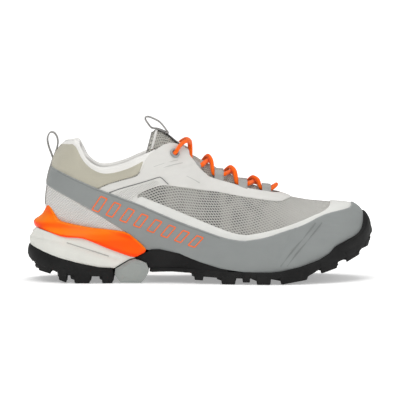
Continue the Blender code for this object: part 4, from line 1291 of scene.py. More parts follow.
KNIT_GREY = Finish("knit", Kind.KNIT, (0.53, 0.52, 0.485), (0.065, 0.065, 0.062), 0.85, 2.9, bump=0.25,
                   slot="knit")
FILM_WHITE = Finish("white_film", Kind.FILM, (0.66, 0.65, 0.62), (0.52, 0.52, 0.5), 0.5, bump=0.12,
                    slot="white_film")
# Its ribs get painted shade in their troughs.
FILM_RIBBED = Finish("ribbed_film", Kind.FILM, (0.68, 0.67, 0.645), (0.56, 0.56, 0.54), 0.5, bump=0.14,
                     ribs=1.7,
                     slot="white_film")
# Its ribs get painted shade in their troughs.
FILM_FINE = Finish("fine_ribbed_film", Kind.FILM, (0.66, 0.65, 0.62), (0.54, 0.54, 0.52), 0.5, bump=0.12,
                   ribs=1.5,
                   slot="white_film")
TRIM_WHITE = Finish("white_trim", Kind.FILM, (0.7, 0.7, 0.67), (0.56, 0.56, 0.54), 0.5, bump=0.1, edge_lightness=0.3,
                    slot="white_film")
FILM_GREY = Finish("grey_film", Kind.FILM, (0.255, 0.27, 0.265), (0.2, 0.21, 0.21), 0.45, bump=0.15,
                   edge_lightness=0.25,
                   slot="grey_film")
KHAKI = Finish("khaki", Kind.CLOTH, (0.5, 0.475, 0.385), (0.33, 0.31, 0.24), 0.85, 0.7, bump=0.12,
               slot="khaki")
LINING_WHITE = Finish("lining", Kind.FLEECE, (0.78, 0.77, 0.74), (0.62, 0.61, 0.58), 0.95, 0.6, bump=0.15,
                      slot="lining")
TONGUE_GREY = Finish("tongue_knit", Kind.KNIT, (0.55, 0.54, 0.49), (0.15, 0.15, 0.135), 0.85, 2.4, bump=0.2,
                     slot="tongue_knit")
PIPING = Finish("piping", Kind.CLOTH, (0.16, 0.16, 0.155), (0.04, 0.04, 0.04), 0.8, 0.6, bump=0.1,
                slot="webbing")
TAPE = Finish("tape", Kind.WEBBING, (0.48, 0.47, 0.45), (0.24, 0.235, 0.23), 0.8, 1.2, bump=0.2,
              slot="webbing")
TAPE_DARK = Finish("dark_tape", Kind.WEBBING, (0.16, 0.155, 0.15), (0.06, 0.06, 0.06), 0.8, 1.2, bump=0.2,
                   slot="webbing")
LACE_ORANGE = Finish("lace", Kind.BRAID, (1.0, 0.15, 0.0), (0.9, 0.09, 0.0), 0.7, 1.5, 0.1, 0.2, slot="lace")
# The aglet and the orange frame below are plastic: their second colour is painted light on the faces that
# look up.
CLEAR = Finish("aglet", Kind.PLASTIC, (0.45, 0.45, 0.44), (0.6, 0.6, 0.6), 0.2, 0.8, bump=0.02, slot="aglet")
ORANGE = Finish("orange_frame", Kind.PLASTIC, (1.0, 0.062, 0.0), (1.0, 0.21, 0.0), 0.4, 0.9, 0.12, 0.03,
                slot="orange_frame")
MIDSOLE_WHITE = Finish("white_foam", Kind.FOAM, (0.72, 0.72, 0.67), (0.6, 0.6, 0.56), 0.6, 0.8, bump=0.06,
                       slot="white_foam")
MIDSOLE_BLACK = Finish("black_foam", Kind.FOAM, (0.009, 0.009, 0.009), (0.018, 0.018, 0.018), 0.7, 0.7, 0.12,
                       0.06,
                       slot="black_foam")
RUBBER_BLACK = Finish("rubber", Kind.RUBBER, (0.009, 0.009, 0.009), (0.022, 0.021, 0.019), 0.65, 0.6, 0.14,
                      0.08,
                      slot="rubber")
ARCH_GREY = Finish("grey_rubber", Kind.RUBBER, (0.3, 0.32, 0.305), (0.36, 0.37, 0.36), 0.4, 0.8, bump=0.04,
                   slot="grey_rubber")
BOARD_FIBRE = Finish("board", Kind.FLEECE, (0.5, 0.46, 0.38), (0.38, 0.34, 0.27), 0.9, slot="board")
FOOTBED_GREY = Finish("footbed", Kind.FLEECE, (0.2, 0.2, 0.2), (0.1, 0.1, 0.1), 0.9, slot="footbed")
STIFF_FIBRE = Finish("stiffener", Kind.FLEECE, (0.3, 0.3, 0.28), (0.2, 0.2, 0.18), 0.8, slot="stiffener")
# Plastic: its second colour is painted light on the faces that look up.
EYELET_GREY = Finish("eyelet", Kind.PLASTIC, (0.3, 0.31, 0.31), (0.4, 0.4, 0.4), 0.35, 0.8, bump=0.02,
                     slot="grey_film")
# Painted shade: darker lines laid in the fold, grooves and creases of the upper and midsole, and along the
# lip of the band.
FOLD_SHADE = Finish("seam", Kind.CLOTH, (0.16, 0.165, 0.165), (0.08, 0.08, 0.08), 0.8, 0.5, bump=0.05)
GROOVE_SHADE = Finish("shaded_grooves", Kind.FILM, (0.205, 0.217, 0.213), (0.16, 0.17, 0.17), 0.55, bump=0.1)
FOAM_CREASE_SHADE = Finish("shaded_foam_crease", Kind.FOAM, (0.42, 0.42, 0.4), (0.32, 0.32, 0.3), 0.8, 0.8, bump=0.05)
FILM_CREASE_SHADE = Finish("shaded_film_creases", Kind.FILM, (0.5, 0.5, 0.48), (0.4, 0.4, 0.38), 0.55, bump=0.05)
LINE_LIGHT = Finish("bar_outline", Kind.FILM, (0.95, 0.16, 0.03), (0.85, 0.12, 0.02), 0.45, bump=0.05,
                    slot="orange_frame")


# The upper.

@dataclass
class Upper:
    """Knit, films and covers, all cut from the last."""

    last: Last
    pieces: List[bpy.types.Object] = field(default_factory=list)

    def side(self, outline: Table, turns: int = 2) -> np.ndarray:
        """Distance inside a side outline at each point of the last."""
        place = self.last.skin.place()
        return inside_by(softened(outline, turns), place[:, 0], place[:, 2])

    def throat(self) -> np.ndarray:
        """Distance outside the opening for the tongue at each point of the last.

        Returns:
            The distances.
        """
        place = self.last.skin.place()
        outline = [(x, y) for x, y in THROAT] + [(x, -y) for x, y in THROAT[-2::-1]]
        away = -inside_by(softened(outline, 1), place[:, 0], place[:, 1])
        behind = -(place[:, 0] + 59.0)
        return np.maximum(away, behind)

    def holes(self) -> np.ndarray:
        """Distance outside the two top eyelet holes at each point of the last.

        Returns:
            The distances.
        """
        place = self.last.skin.place()
        best = np.full(len(place), 1e3)
        for side in (-1, 1):
            centre = self.last.skin.spot(EYELET[0], EYELET[1], side)
            best = np.minimum(best, np.linalg.norm(place - centre, axis=1) - EYELET_HOLE)
        return best

    def knit(self) -> None:
        """Open knit of the quarters and vamp, in one."""
        depth = np.minimum(np.minimum(self.throat(), self.holes()), 30.0)
        piece = Cut("upper_knit", 0.0, -0.9, 0.8, 0.5).make(self.last.skin, depth)
        finished(piece, KNIT_GREY, "quarter_knit_outer", "quarter_knit_inner", "vamp_knit")

    def lining(self) -> None:
        """Soft lining under the knit, in one."""
        depth = np.minimum(np.minimum(self.throat() - 0.6, self.holes() - 0.2), self.side(LINING_ALL))
        piece = Cut("upper_lining", -2.5, -3.4, 0.8, 0.3).make(self.last.skin, depth)
        finished(piece, LINING_WHITE, "lining_outer", "lining_inner", "vamp_lining")

    def eyestay(self) -> None:
        """White film round the lacing, with its fold line and creases."""
        def creased(skin: Skin, depth: np.ndarray) -> np.ndarray:
            """Fold line, creases and dimples under the loops.

            Args:
                skin: the cut surface.
                depth: distance inside the outline at each point.

            Returns:
                Extra height at each point.
            """
            x, z = skin.data[:, 0], skin.data[:, 2]
            height = 0.45 * smoothstep(depth, 0.5, 9.0)
            line = np.array(curve_points(FOLD_LINE, 4))
            for (ax, az), (bx, bz) in zip(line, line[1:]):
                run = np.array([bx - ax, bz - az])
                share = np.clip(((x - ax) * run[0] + (z - az) * run[1]) / (run @ run), 0.0, 1.0)
                gap = np.hypot(ax + share * run[0] - x, az + share * run[1] - z)
                height = np.minimum(
                    height, 0.45 * smoothstep(depth, 0.5, 9.0) - 0.55 * np.exp(-(gap / 0.9) ** 2)
                )
            for cx, cz, slope, reach in ((-28.0, 98.5, 0.42, 11.0), (-14.0, 97.0, 0.3, 12.0),
                                         (-20.0, 91.5, 0.36, 9.0)):
                u, v = x - cx, z - cz
                across = v - slope * u
                height -= 0.42 * np.exp(-(across / 1.1) ** 2 - (u / reach) ** 2)
                height += 0.36 * np.exp(-((across - 2.6) / 1.6) ** 2 - (u / reach) ** 2)
            for lx, _, _ in LOOP_ROWS:
                edge_z = self.last.skin.spot(lx + 2.0, 95.0 - 0.42 * (lx + 2.0), -1)[2]
                height -= 0.35 * np.exp(-((x - lx - 3.0) / 2.0) ** 2 - ((z - edge_z + 9.0) / 5.0) ** 2)
            return height

        depth = np.minimum(np.minimum(self.side(EYESTAY), self.throat() + 0.3), self.holes() + 0.2)
        depth = np.minimum(depth, self.front_split())
        piece = Cut("eyestay", 1.0, 0.15, 1.0, 0.6).make(self.last.skin, depth, creased)
        finished(piece, FILM_WHITE, "eyestay_outer", "eyestay_inner")

    def front_split(self) -> np.ndarray:
        """Keeps the front end of the eyestay rounded where its two sides meet."""
        place = self.last.skin.place()
        return 79.5 - place[:, 0] - 0.02 * place[:, 1] ** 2

    def ribs(self) -> None:
        """Finely ribbed inset between the fold line and the mesh window."""
        depth = self.side(RIBBED)
        piece = Cut("ribbed_inset", 1.62, 1.1, 0.6, 0.3).make(self.last.skin, depth)
        finished(piece, FILM_FINE)

    def heel_panel(self) -> None:
        """White film low round the heel, with slanting ribs."""
        piece = Cut("heel_panel_film", 1.0, 0.1, 1.0, 0.6).make(self.last.skin, self.side(HEEL_PANEL))
        finished(piece, FILM_RIBBED, "heel_panel")

    def trim(self) -> None:
        """White border between the mesh window and the band, and over the toe."""
        piece = Cut("white_border", 1.0, 0.1, 1.2, 0.7).make(
            self.last.skin, self.side(TRIM), lambda skin, d: 0.35 * smoothstep(d, 0.0, 2.4)
        )
        finished(piece, TRIM_WHITE, "toe_trim")

    def band(self) -> None:
        """Grey band from the heel that widens into the rand round the forefoot."""
        def relief(skin: Skin, depth: np.ndarray) -> np.ndarray:
            """Raised lip along the top edge, stitched creases and faint wrinkles.

            Args:
                skin: the cut surface.
                depth: distance inside the outline at each point.

            Returns:
                Extra height at each point.
            """
            x, z = skin.data[:, 0], skin.data[:, 2]
            height = 0.25 * np.exp(-((depth - 1.5) / 0.8) ** 2)
            for start in (82.5, 85.8):
                along_it = (x - start) + 0.62 * (52.0 - z)
                line = np.exp(-(along_it / 0.6) ** 2) * smoothstep(-z, -51.0, -46.0) * smoothstep(
                    z, 12.0, 17.0
                )
                height -= 0.4 * line
            for k in range(5):
                across = z - (38.0 + 4.2 * k) + 0.16 * (x - 108.0)
                height -= 0.22 * np.exp(-(across / 0.9) ** 2 - ((x - 112.0) / 13.0) ** 2)
            height += 0.3 * np.sin(x * 0.13 + z * 0.24) * smoothstep(x, -20.0, 60.0)
            return height

        piece = Cut("grey_band", 2.0, 0.1, 0.9, 0.7).make(self.last.skin, self.side(BAND), relief)
        finished(piece, FILM_GREY, "band_outer", "band_inner")

    def toe_wrap(self) -> None:
        """Rubber bumper that climbs round the toe."""
        piece = Cut("toe_bumper", 3.0, 1.0, 1.6, 0.9).make(
            self.last.skin, self.side(BUMPER), lambda skin,
            d: 2.6 * smoothstep(-skin.data[:, 2], -63.0, -47.0)
        )
        finished(piece, RUBBER_BLACK)

    def marks(self) -> None:
        """Plain slanted outlined bars on the band, where it carries decoration."""
        for side, word in ((-1, "outer"), (1, "inner")):
            for k in range(BAR_COUNT):
                x = BAR_START + BAR_STEP * k
                z = at(BAND_MIDDLE, x)
                slope = (at(BAND_MIDDLE, x + 4.0) - at(BAND_MIDDLE, x - 4.0)) / 8.0
                high = 7.0 - 0.25 * k
                corners = np.array([(-6.4, -high), (-1.0, -high), (6.4, high), (1.0, high)])
                dense = [a + (b - a) * t for a, b in zip(corners, np.roll(corners, -1, axis=0)) for t in
                         np.linspace(0.0, 1.0, 5, endpoint=False)]
                loop = softened([(x + u, z + v + slope * u) for u, v in dense], 1)
                line_along("band_bar_%s_%d" % (word, k + 1), self.last.skin, loop, side, 2.15, 0.5,
                           LINE_LIGHT, True)

    def shade_lines(self) -> None:
        """Painted shade as thin darker lines: in the fold of the eyestay, in the stitched grooves on the
        rand, along the lip of the band and in the creases of the eyestay.
        """
        for side, word in ((-1, "outer"), (1, "inner")):
            skin = self.last.skin
            # Painted shade in the fold of the eyestay.
            line_along("fold_shade_line_" + word, skin, FOLD_LINE, side, 1.25, 0.32, FOLD_SHADE)
            # Painted shade in the two stitched grooves on the rand.
            for number, (dx, half) in enumerate(((0.0, 0.5), (5.4, 0.5))):
                path = [(x + dx, z) for x, z in curve_points(RAND_STITCH, 10)]
                line_along("rand_groove_shade_%s_%d" % (word, number + 1), skin, path, side, 2.05, half, GROOVE_SHADE)
            # Painted shade along the lip of the band.
            path = [(x, z - 1.6) for x, z in curve_points(BAND_LIP, 5)]
            line_along("band_lip_shade_" + word, skin, path, side, 2.22, 0.4, GROOVE_SHADE)
            # Painted shade in the creases of the eyestay.
            for number, path in enumerate(EYESTAY_CREASES):
                name = "eyestay_crease_%s_%d" % (word, number + 1)
                line_along(name, skin, curve_points(path, 8), side, 1.36, 0.34, FILM_CREASE_SHADE)

    def collar_cover(self) -> None:
        """Khaki cloth over the padded collar, a little puffed between its seams."""
        def puffed(skin: Skin, depth: np.ndarray) -> np.ndarray:
            """Rise of the padding and a few soft folds.

            Args:
                skin: the cut surface.
                depth: distance inside the outline at each point.

            Returns:
                Extra height at each point.
            """
            x, z = skin.data[:, 0], skin.data[:, 2]
            height = 1.25 * smoothstep(depth, 0.0, 8.0)
            height += 0.3 * np.sin(0.23 * x + 0.16 * z) * smoothstep(depth, 1.0, 7.0)
            return height

        last = self.last
        top = sorted(
            (float(p[0]), float(p[2])) for p in last.grid[:, last.rows] if p[1] < 0.0 and p[0] < -36.0
        )
        bound = [(-170.0, top[0][1])] + top + [(-10.0, top[-1][1] + 12.0), (-10.0, 20.0), (-170.0, 20.0)]
        place = last.skin.place()
        gap = inside_by(bound, place[:, 0], place[:, 2])
        back = np.interp(place[:, 0], [-109.0, -103.0, -96.0, -62.0, -50.0], [0.3, 2.6, 2.4, 1.8, 1.4])
        depth = np.minimum(self.side(COLLAR_COVER), gap - back)
        piece = Cut("collar_cloth", 1.1, 0.1, 1.6, 0.9).make(self.last.skin, depth, puffed)
        finished(piece, KHAKI, "collar_cover")

    def heel_tape(self) -> None:
        """Webbing strip up the middle of the heel, under its pull loop."""
        place = self.last.skin.place()
        depth = np.minimum(HEEL_LOOP_HALF - np.abs(place[:, 1]),
                           np.minimum(place[:, 2] - 65.0, 103.8 - place[:, 2]))
        depth = np.where(place[:, 0] < -100.0, depth, -5.0)
        piece = Cut("heel_tape", 2.75, 0.9, 0.5, 0.3).make(
            self.last.skin, depth, lambda skin, d: -1.0 * smoothstep(-skin.data[:, 2], -86.0, -81.0)
        )
        finished(piece, TAPE, "heel_tab")

    def build(self) -> None:
        """Make every panel."""
        for step in (
            self.knit, self.lining, self.eyestay, self.ribs, self.heel_panel, self.trim, self.band,
            self.toe_wrap, self.marks, self.shade_lines, self.collar_cover, self.heel_tape,
        ):
            step()


def swept(name: str, line: np.ndarray, sections: np.ndarray, body: str,
          closed: bool = False) -> bpy.types.Object:
    """Closed body through a row of sections.

    Args:
        name: name of the piece.
        line: not used where the sections hold their places; kept as its length along, one per section.
        sections: places, shaped (sections, points of one section, 3).
        body: the body that it rides on.
        closed: whether the last section joins the first.

    Returns:
        The piece, with a flat layer "Round" of lengths along and round.
    """
    n, m = sections.shape[:2]
    faces = []
    for i in range(n if closed else n - 1):
        j = (i + 1) % n
        for k in range(m):
            after = (k + 1) % m
            faces.append((i * m + k, j * m + k, j * m + after, i * m + after))
    if not closed:
        faces.append(tuple(range(m)))
        faces.append(tuple(range((n - 1) * m, n * m)))
    piece = fresh(name, sections.reshape(-1, 3), faces, body)
    around = np.linspace(0.0, 1.0, m, endpoint=False)
    girth = np.linalg.norm(np.roll(sections[n // 2], -1, axis=0) - sections[n // 2], axis=1).sum()
    flat = np.stack([np.repeat(line, m), np.tile(around * girth, n)], 1)
    give_uv(piece, "Round", flat)
    give_uv(piece, "Flat", flat)
    return piece


def frames(line: np.ndarray, closed: bool = False) -> Tuple[np.ndarray, np.ndarray, np.ndarray]:
    """Directions along a line and two steady ones across it.

    Args:
        line: points of the line.
        closed: whether it is a ring.

    Returns:
        Directions along, first across and second across, one row for each point.
    """
    if closed:
        run = np.roll(line, -1, axis=0) - np.roll(line, 1, axis=0)
    else:
        run = np.gradient(line, axis=0)
    run /= np.linalg.norm(run, axis=1, keepdims=True)
    side = np.zeros_like(line)
    start = np.cross(run[0], [0.0, 0.0, 1.0])
    side[0] = start / max(np.linalg.norm(start), 1e-9)
    for i in range(1, len(line)):
        step = side[i - 1] - run[i] * (side[i - 1] @ run[i])
        side[i] = step / np.linalg.norm(step)
    return run, side, np.cross(run, side)


def tube(name: str, line: Sequence, wide: float, thick: float, body: str,
         sides: int = 16) -> bpy.types.Object:
    """Cord of an oval section along a line.

    Args:
        name: name of the piece.
        line: its middle line.
        wide: half width across.
        thick: half width the other way.
        body: the body that it rides on.
        sides: points round it.

    Returns:
        The closed cord.
    """
    line = np.array(line, float)
    _, side, up = frames(line)
    angle = np.linspace(0.0, 2.0 * math.pi, sides, endpoint=False)
    ring = side[:, None, :] * (wide * np.cos(angle))[None, :, None]
    ring = ring + up[:, None, :] * (thick * np.sin(angle))[None, :, None]
    length = run_lengths(line)
    return swept(name, length, line[:, None, :] + ring, body)


@dataclass
class Collar:
    """Padded collar: the white roll on the topline and the lining down inside."""

    last: Last
    first: int = 0
    end_x: float = -38.0

    def build(self) -> None:
        """Sweep the pad round the heel from one side to the other."""
        last = self.last
        n, m = last.stations, last.rows
        ring = [i % n for i in range(-n // 2, n // 2) if last.grid[i % n, m, 0] < self.end_x]
        sections, length, total = [], [], 0.0
        before = None
        for i in ring:
            top = last.grid[i, m]
            size = float(np.clip((self.end_x - top[0]) / 16.0, 0.0, 1.0)) ** 0.6
            shape = [(up, off) for up, off in COLLAR_SECTION]
            places = []
            slim = 1.5 * float(np.clip((-top[0] - 105.0) / 6.0, 0.0, 1.0))
            for up, off in curve_points(shape, 3, closed=True):
                off = off - slim if off > 0.0 else off
                off = -1.0 + (off + 1.0) * (0.35 + 0.65 * size)
                t = 1.0 + min(up, 0.0) / 52.0
                row = max(t, 0.0) * m
                low = min(int(row), m - 1)
                share = row - low
                spot = last.grid[i, low] * (1.0 - share) + last.grid[i, low + 1] * share
                normal = last.outward[i, low] * (1.0 - share) + last.outward[i, low + 1] * share
                normal = normal / np.linalg.norm(normal)
                flat = normal * np.array([1.0, 1.0, 0.25])
                flat = flat / np.linalg.norm(flat)
                rise = last.grid[i, m] - last.grid[i, m - 3]
                rise = rise / np.linalg.norm(rise)
                places.append(spot + flat * off + rise * max(up, 0.0) * (0.4 + 0.6 * size))
            sections.append(places)
            if before is not None:
                total += float(np.linalg.norm(top - before))
            before = top
            length.append(total)
        piece = swept("collar_pad", np.array(length), np.array(sections), "shoe")
        finished(piece, LINING_WHITE, "collar_lining", "topline_binding", "collar_foam")


@dataclass
class Tongue:
    """Padded tongue, its piping, its strip and its tape."""

    steps: int = 96
    across: int = 36

    def point(self, x: float, fraction: float, depth: float) -> Point3:
        """Point of the tongue, as the CAD has it.

        Args:
            x: place along the shoe.
            fraction: place across, from -1 to 1.
            depth: depth below the surface.

        Returns:
            The point.
        """
        half = at(TONGUE_HALF, x)
        height = at(TONGUE_RIDGE, x) - at(TONGUE_DROP, x) * abs(fraction) ** 2.1 - 0.9 * depth
        lean = 0.27 * (height - 115.0) * float(np.interp(x, [TONGUE_REAR, TONGUE_REAR + 14.0], [1.0, 0.0]))
        return (x - 0.45 * depth + lean, fraction * (half - 0.35 * depth), height)

    def build(self) -> None:
        """Make the pad, thicker behind the split, and its edges."""
        ridge = curve_points(TONGUE_RIDGE, 4)
        points, flats, edges = [], [], []
        xs = np.linspace(TONGUE_REAR, TONGUE_FRONT, self.steps + 1)
        fractions = np.sin(np.linspace(-1.0, 1.0, self.across + 1) * math.pi / 2.0)
        for lower in (False, True):
            for x in xs:
                thick = float(np.interp(x, [TONGUE_SPLIT - 3.0, TONGUE_SPLIT + 3.0],
                                        [FLAP_THICK, TONGUE_THICK]))
                ridge_z = float(np.interp(x, [p[0] for p in ridge], [p[1] for p in ridge]))
                for f in fractions:
                    inset = min((1.0 - abs(f)) * at(TONGUE_HALF, x), x - TONGUE_REAR)
                    full = math.sqrt(max(0.0, 1.0 - (1.0 - min(inset / 3.2, 1.0)) ** 2))
                    puff = 0.5 * math.sin(x * 0.42) ** 2 * min(inset / 5.0, 1.0)
                    depth = thick * (0.5 - 0.5 * full) - puff if not lower else thick * (0.5 + 0.5 * full)
                    px, py, pz = self.point(x, float(f), depth)
                    points.append((px, py, pz + ridge_z - at(TONGUE_RIDGE, x)))
                    flats.append((x, f * at(TONGUE_HALF, x) * 1.4))
                    edges.append(inset)
        wide = self.across + 1
        size = wide * (self.steps + 1)
        faces = []
        for i in range(self.steps):
            for j in range(self.across):
                a = i * wide + j
                faces.append((a, a + 1, a + wide + 1, a + wide))
                faces.append((a + size, a + wide + size, a + wide + 1 + size, a + 1 + size))
        loop = list(range(wide)) + [i * wide + self.across for i in range(1, self.steps + 1)]
        loop += [self.steps * wide + j for j in range(self.across - 1, -1, -1)]
        loop += [i * wide for i in range(self.steps - 1, 0, -1)]
        for a, b in zip(loop, loop[1:] + loop[:1]):
            faces.append((a, b, b + size, a + size))
        piece = fresh("tongue_pad", np.array(points), faces, "")
        give_uv(piece, "Flat", np.array(flats))
        give_uv(piece, "Round", np.array(flats))
        give_value(piece, "edge", np.array(edges))
        finished(piece, TONGUE_GREY, "tongue", "tongue_flap")
        self._bend(piece)
        line = [self.point(TONGUE_REAR + 0.4, float(f),
                           FLAP_THICK * 0.45) for f in np.linspace(-0.96, 0.96, 60)]
        self._edge("tongue_piping", line, 0.7, TAPE)
        line = [
            (x + 1.9, y, z + 0.9) for x, y, z in
            (self.point(TONGUE_REAR + 1.6, float(f), FLAP_THICK * 0.12) for f in np.linspace(-0.9, 0.9, 60))
        ]
        self._edge("tongue_strip", line, 1.15, LINING_WHITE)
        line = [self.point(x, 0.0, -0.75) for x in np.linspace(-40.0, -9.0, 60)]
        strip = tube("tongue_tape", line, 4.5, 0.6, "", 12)
        finished(strip, TAPE_DARK)
        self._bend(strip)
        for side, word in ((-1, "outer"), (1, "inner")):
            line = [self.point(x, 0.985 * side,
                               FLAP_THICK * 0.45) for x in np.linspace(TONGUE_REAR + 1.0, -4.0, 50)]
            self._edge("tongue_side_piping_" + word, line, 0.8, PIPING)

    def _edge(self, name: str, line: Sequence, radius: float, coat: Finish) -> None:
        """A round strip sewn along an edge of the tongue.

        Args:
            name: name of the piece.
            line: its middle line.
            radius: its radius.
            coat: its finish.
        """
        strip = tube(name, line, radius, radius, "", 12)
        finished(strip, coat)
        self._bend(strip)

    def _bend(self, piece: bpy.types.Object) -> None:
        """Bake a piece's placement into its mesh."""
        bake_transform(piece)


@dataclass
class Lacing:
    """Lace, webbing loops, top eyelets and lace ends."""

    last: Last

    def route(self) -> List[Point3]:
        """Control points of the whole lace, as the CAD has them.

        Returns:
            The control points.
        """
        def strand(row: int, side: int) -> List[Point3]:
            """Crossing behind a row, from one side to the other.

            Args:
                row: number of the row.
                side: side that it starts from.

            Returns:
                Its control points.
            """
            x_mid, z_mid = CROSS_X[row], CROSS_Z[row] + (STRAND_STEP if side > 0 else 0.0)
            x_front, half, z_front = LOOP_ROWS[row]
            found = []
            if row > 0:
                x_back, back, z_back = LOOP_ROWS[row - 1]
                for y in (0.72, 0.36):
                    lift = math.cos(y * math.pi / 2)
                    x = x_back + 4.5 + (x_mid - x_back - 4.5) * (1.0 - y)
                    found.append((x, side * back * y, z_back + (z_mid - z_back) * lift))
            found.append((x_mid, 0.0, z_mid))
            for y in (0.45, 0.85):
                lift = math.cos(y * math.pi / 2)
                x = x_mid + (x_front - 5.2 - x_mid) * y ** 0.6
                found.append((x, -side * half * y, z_front + (z_mid - z_front) * lift))
            return found

        def half_route(side: int) -> List[Point3]:
            """From a tucked end forward to the front row.

            Args:
                side: -1 for the outer side, 1 for the inner.

            Returns:
                Its control points.
            """
            centre = self.last.skin.spot(EYELET[0], EYELET[1], side)
            axis = self.last.skin.direction(EYELET[0], EYELET[1], side)
            found = [(x, y * side, z) for x, y, z in LACE_TAIL[::-1]]
            found += [tuple(centre + axis * h) for h in (-6.3, -1.5, 5.0)]
            found += [(x, y * side, z) for x, y, z in LACE_BRIDGE]
            for row, (x, half, z) in enumerate(LOOP_ROWS):
                found += strand(row, side)
                found += [(x - 4.2, -side * half, z + 0.4), (x, -side * half, z), (x + 4.2, -side * half, z)]
                side = -side
            return found

        return half_route(-1) + [BAR] + half_route(1)[::-1]

    def build(self) -> None:
        """Make the lace and all that holds it."""
        line = np.array(curve_points(self.route(), 9))
        length = float(np.linalg.norm(np.diff(line, axis=0), axis=1).sum())
        LOG.info("lace %.0f mm along its middle", length)
        finished(tube("lace_cord", line, 2.0, 1.7, "shoe", 18), LACE_ORANGE, "lace")
        for side, word, first, second in ((-1, "outer", line[0], line[1]), (1, "inner", line[-1], line[-2])):
            run = (first - second) / np.linalg.norm(first - second)
            tip = [first - run * 2.0 + run * d for d in np.linspace(0.0, 18.0, 12)]
            finished(tube("lace_end_" + word, tip, 1.9, 1.75, "shoe", 16), CLEAR, "aglet_" + word)
            self._eyelet(side, word)
            for row, (x, half, z) in enumerate(LOOP_ROWS):
                self._loop(side, word, row, x, half, z)

    def _eyelet(self, side: int, word: str) -> None:
        """Pressed ring in the top eyelet hole.

        Args:
            side: -1 for the outer side, 1 for the inner.
            word: "outer" or "inner", for the names.
        """
        centre = self.last.skin.spot(EYELET[0], EYELET[1], side)
        axis = self.last.skin.direction(EYELET[0], EYELET[1], side)
        across = np.cross(axis, [0.0, 0.0, 1.0])
        across /= np.linalg.norm(across)
        other = np.cross(axis, across)
        turns = np.linspace(0.0, 2.0 * math.pi, 40, endpoint=False)
        rows = []
        section = curve_points(EYELET_SECTION, 2, closed=True)
        for angle in turns:
            spoke = across * math.cos(angle) + other * math.sin(angle)
            rows.append([centre + spoke * r + axis * h for r, h in section])
        piece = swept("eyelet_ring_" + word, turns * 3.3, np.array(rows), "shoe", closed=True)
        finished(piece, EYELET_GREY, "eyelet_" + word)

    def _loop(self, side: int, word: str, row: int, x: float, half: float, z: float) -> None:
        """Webbing loop round the lace, its two ends laid over the edge of the eyestay.

        Args:
            side: -1 for the outer side, 1 for the inner.
            word: "outer" or "inner", for the names.
            row: number of the row, from 0.
            x: place along the shoe.
            half: distance of the lace from the middle plane.
            z: height of the lace there.
        """
        centre = np.array([x, side * half, z])
        target = np.array([x, side * (half + 7.0), z - 6.0])
        data = self.last.skin.data
        near = int(np.argmin(np.linalg.norm(data[:, 0:3] - target, axis=1)))
        foot = data[near, 0:3] - data[near, 3:6] * 0.2
        foot[0] = x
        middle = data[int(np.argmin(np.linalg.norm(data[:, 0:3] - (target + centre) / 2.0, axis=1)))]
        knee = middle[0:3] + middle[3:6] * 0.9
        knee[0] = x
        out = math.atan2(knee[2] - z, (knee[1] - side * half) * side)
        radius = 3.1
        path = [foot, knee]
        for k in range(14):
            angle = out + 0.75 + k / 13.0 * (2.0 * math.pi - 1.5)
            path.append(centre + np.array([0.0, side * radius * math.cos(angle), radius * math.sin(angle)]))
        path += [knee - middle[3:6] * 0.9, foot - data[near, 3:6] * 0.9]
        line = np.array(curve_points(path, 3))
        run = np.gradient(line, axis=0)
        run /= np.linalg.norm(run, axis=1, keepdims=True)
        up = np.cross(run, [1.0, 0.0, 0.0])
        width, thick = LOOP_WIDTH / 2.0 + 0.8, 0.45
        fall = -data[near, 3] / max(data[near, 5], 0.35) * np.abs(np.linspace(-1.0, 1.0, len(line)))
        tangent = np.column_stack([np.ones(len(line)), np.zeros(len(line)), fall])
        rows = webbing_rows(line, tangent, up, width, thick, 1.15, 0.1)
        piece = swept("lace_keeper_%s_%d" % (word, row + 1), run_lengths(line), rows, "shoe")
        finished(piece, TAPE, "lace_loop_%s_%d" % (word, row + 1))


@dataclass
class PullLoops:
    """Webbing pull loops at the heel and on the tongue."""

    def build(self) -> None:
        """Make both loops."""
        self._ribbon("heel_pull", HEEL_LOOP, HEEL_LOOP_HALF, 0.6, "heel_loop", "heel_pull_loop")
        self._ribbon("tongue_pull", TONGUE_LOOP, TONGUE_LOOP_HALF, 0.55, "tongue_loop", "tongue_pull_loop")

    def _ribbon(self, name: str, middle: Table, half: float, thick: float, body: str, node: str) -> None:
        """Flat ribbon round a closed middle line.

        Args:
            name: name of the piece.
            middle: middle line in side view.
            half: half the width.
            thick: half the thickness.
            body: the body that it moves with.
            node: the CAD node that it replaces.
        """
        line = np.array([(x, 0.0, z) for x, z in curve_points(middle, 6, closed=True)])
        run = np.roll(line, -1, axis=0) - np.roll(line, 1, axis=0)
        run /= np.linalg.norm(run, axis=1, keepdims=True)
        up = np.cross(run, [0.0, 1.0, 0.0])
        rows = webbing_rows(line, np.array([0.0, 1.0, 0.0]), up, half, thick, 1.0, 0.2)
        piece = swept(name, run_lengths(line), rows, body, closed=True)
        finished(piece, TAPE, node)


# The sole.

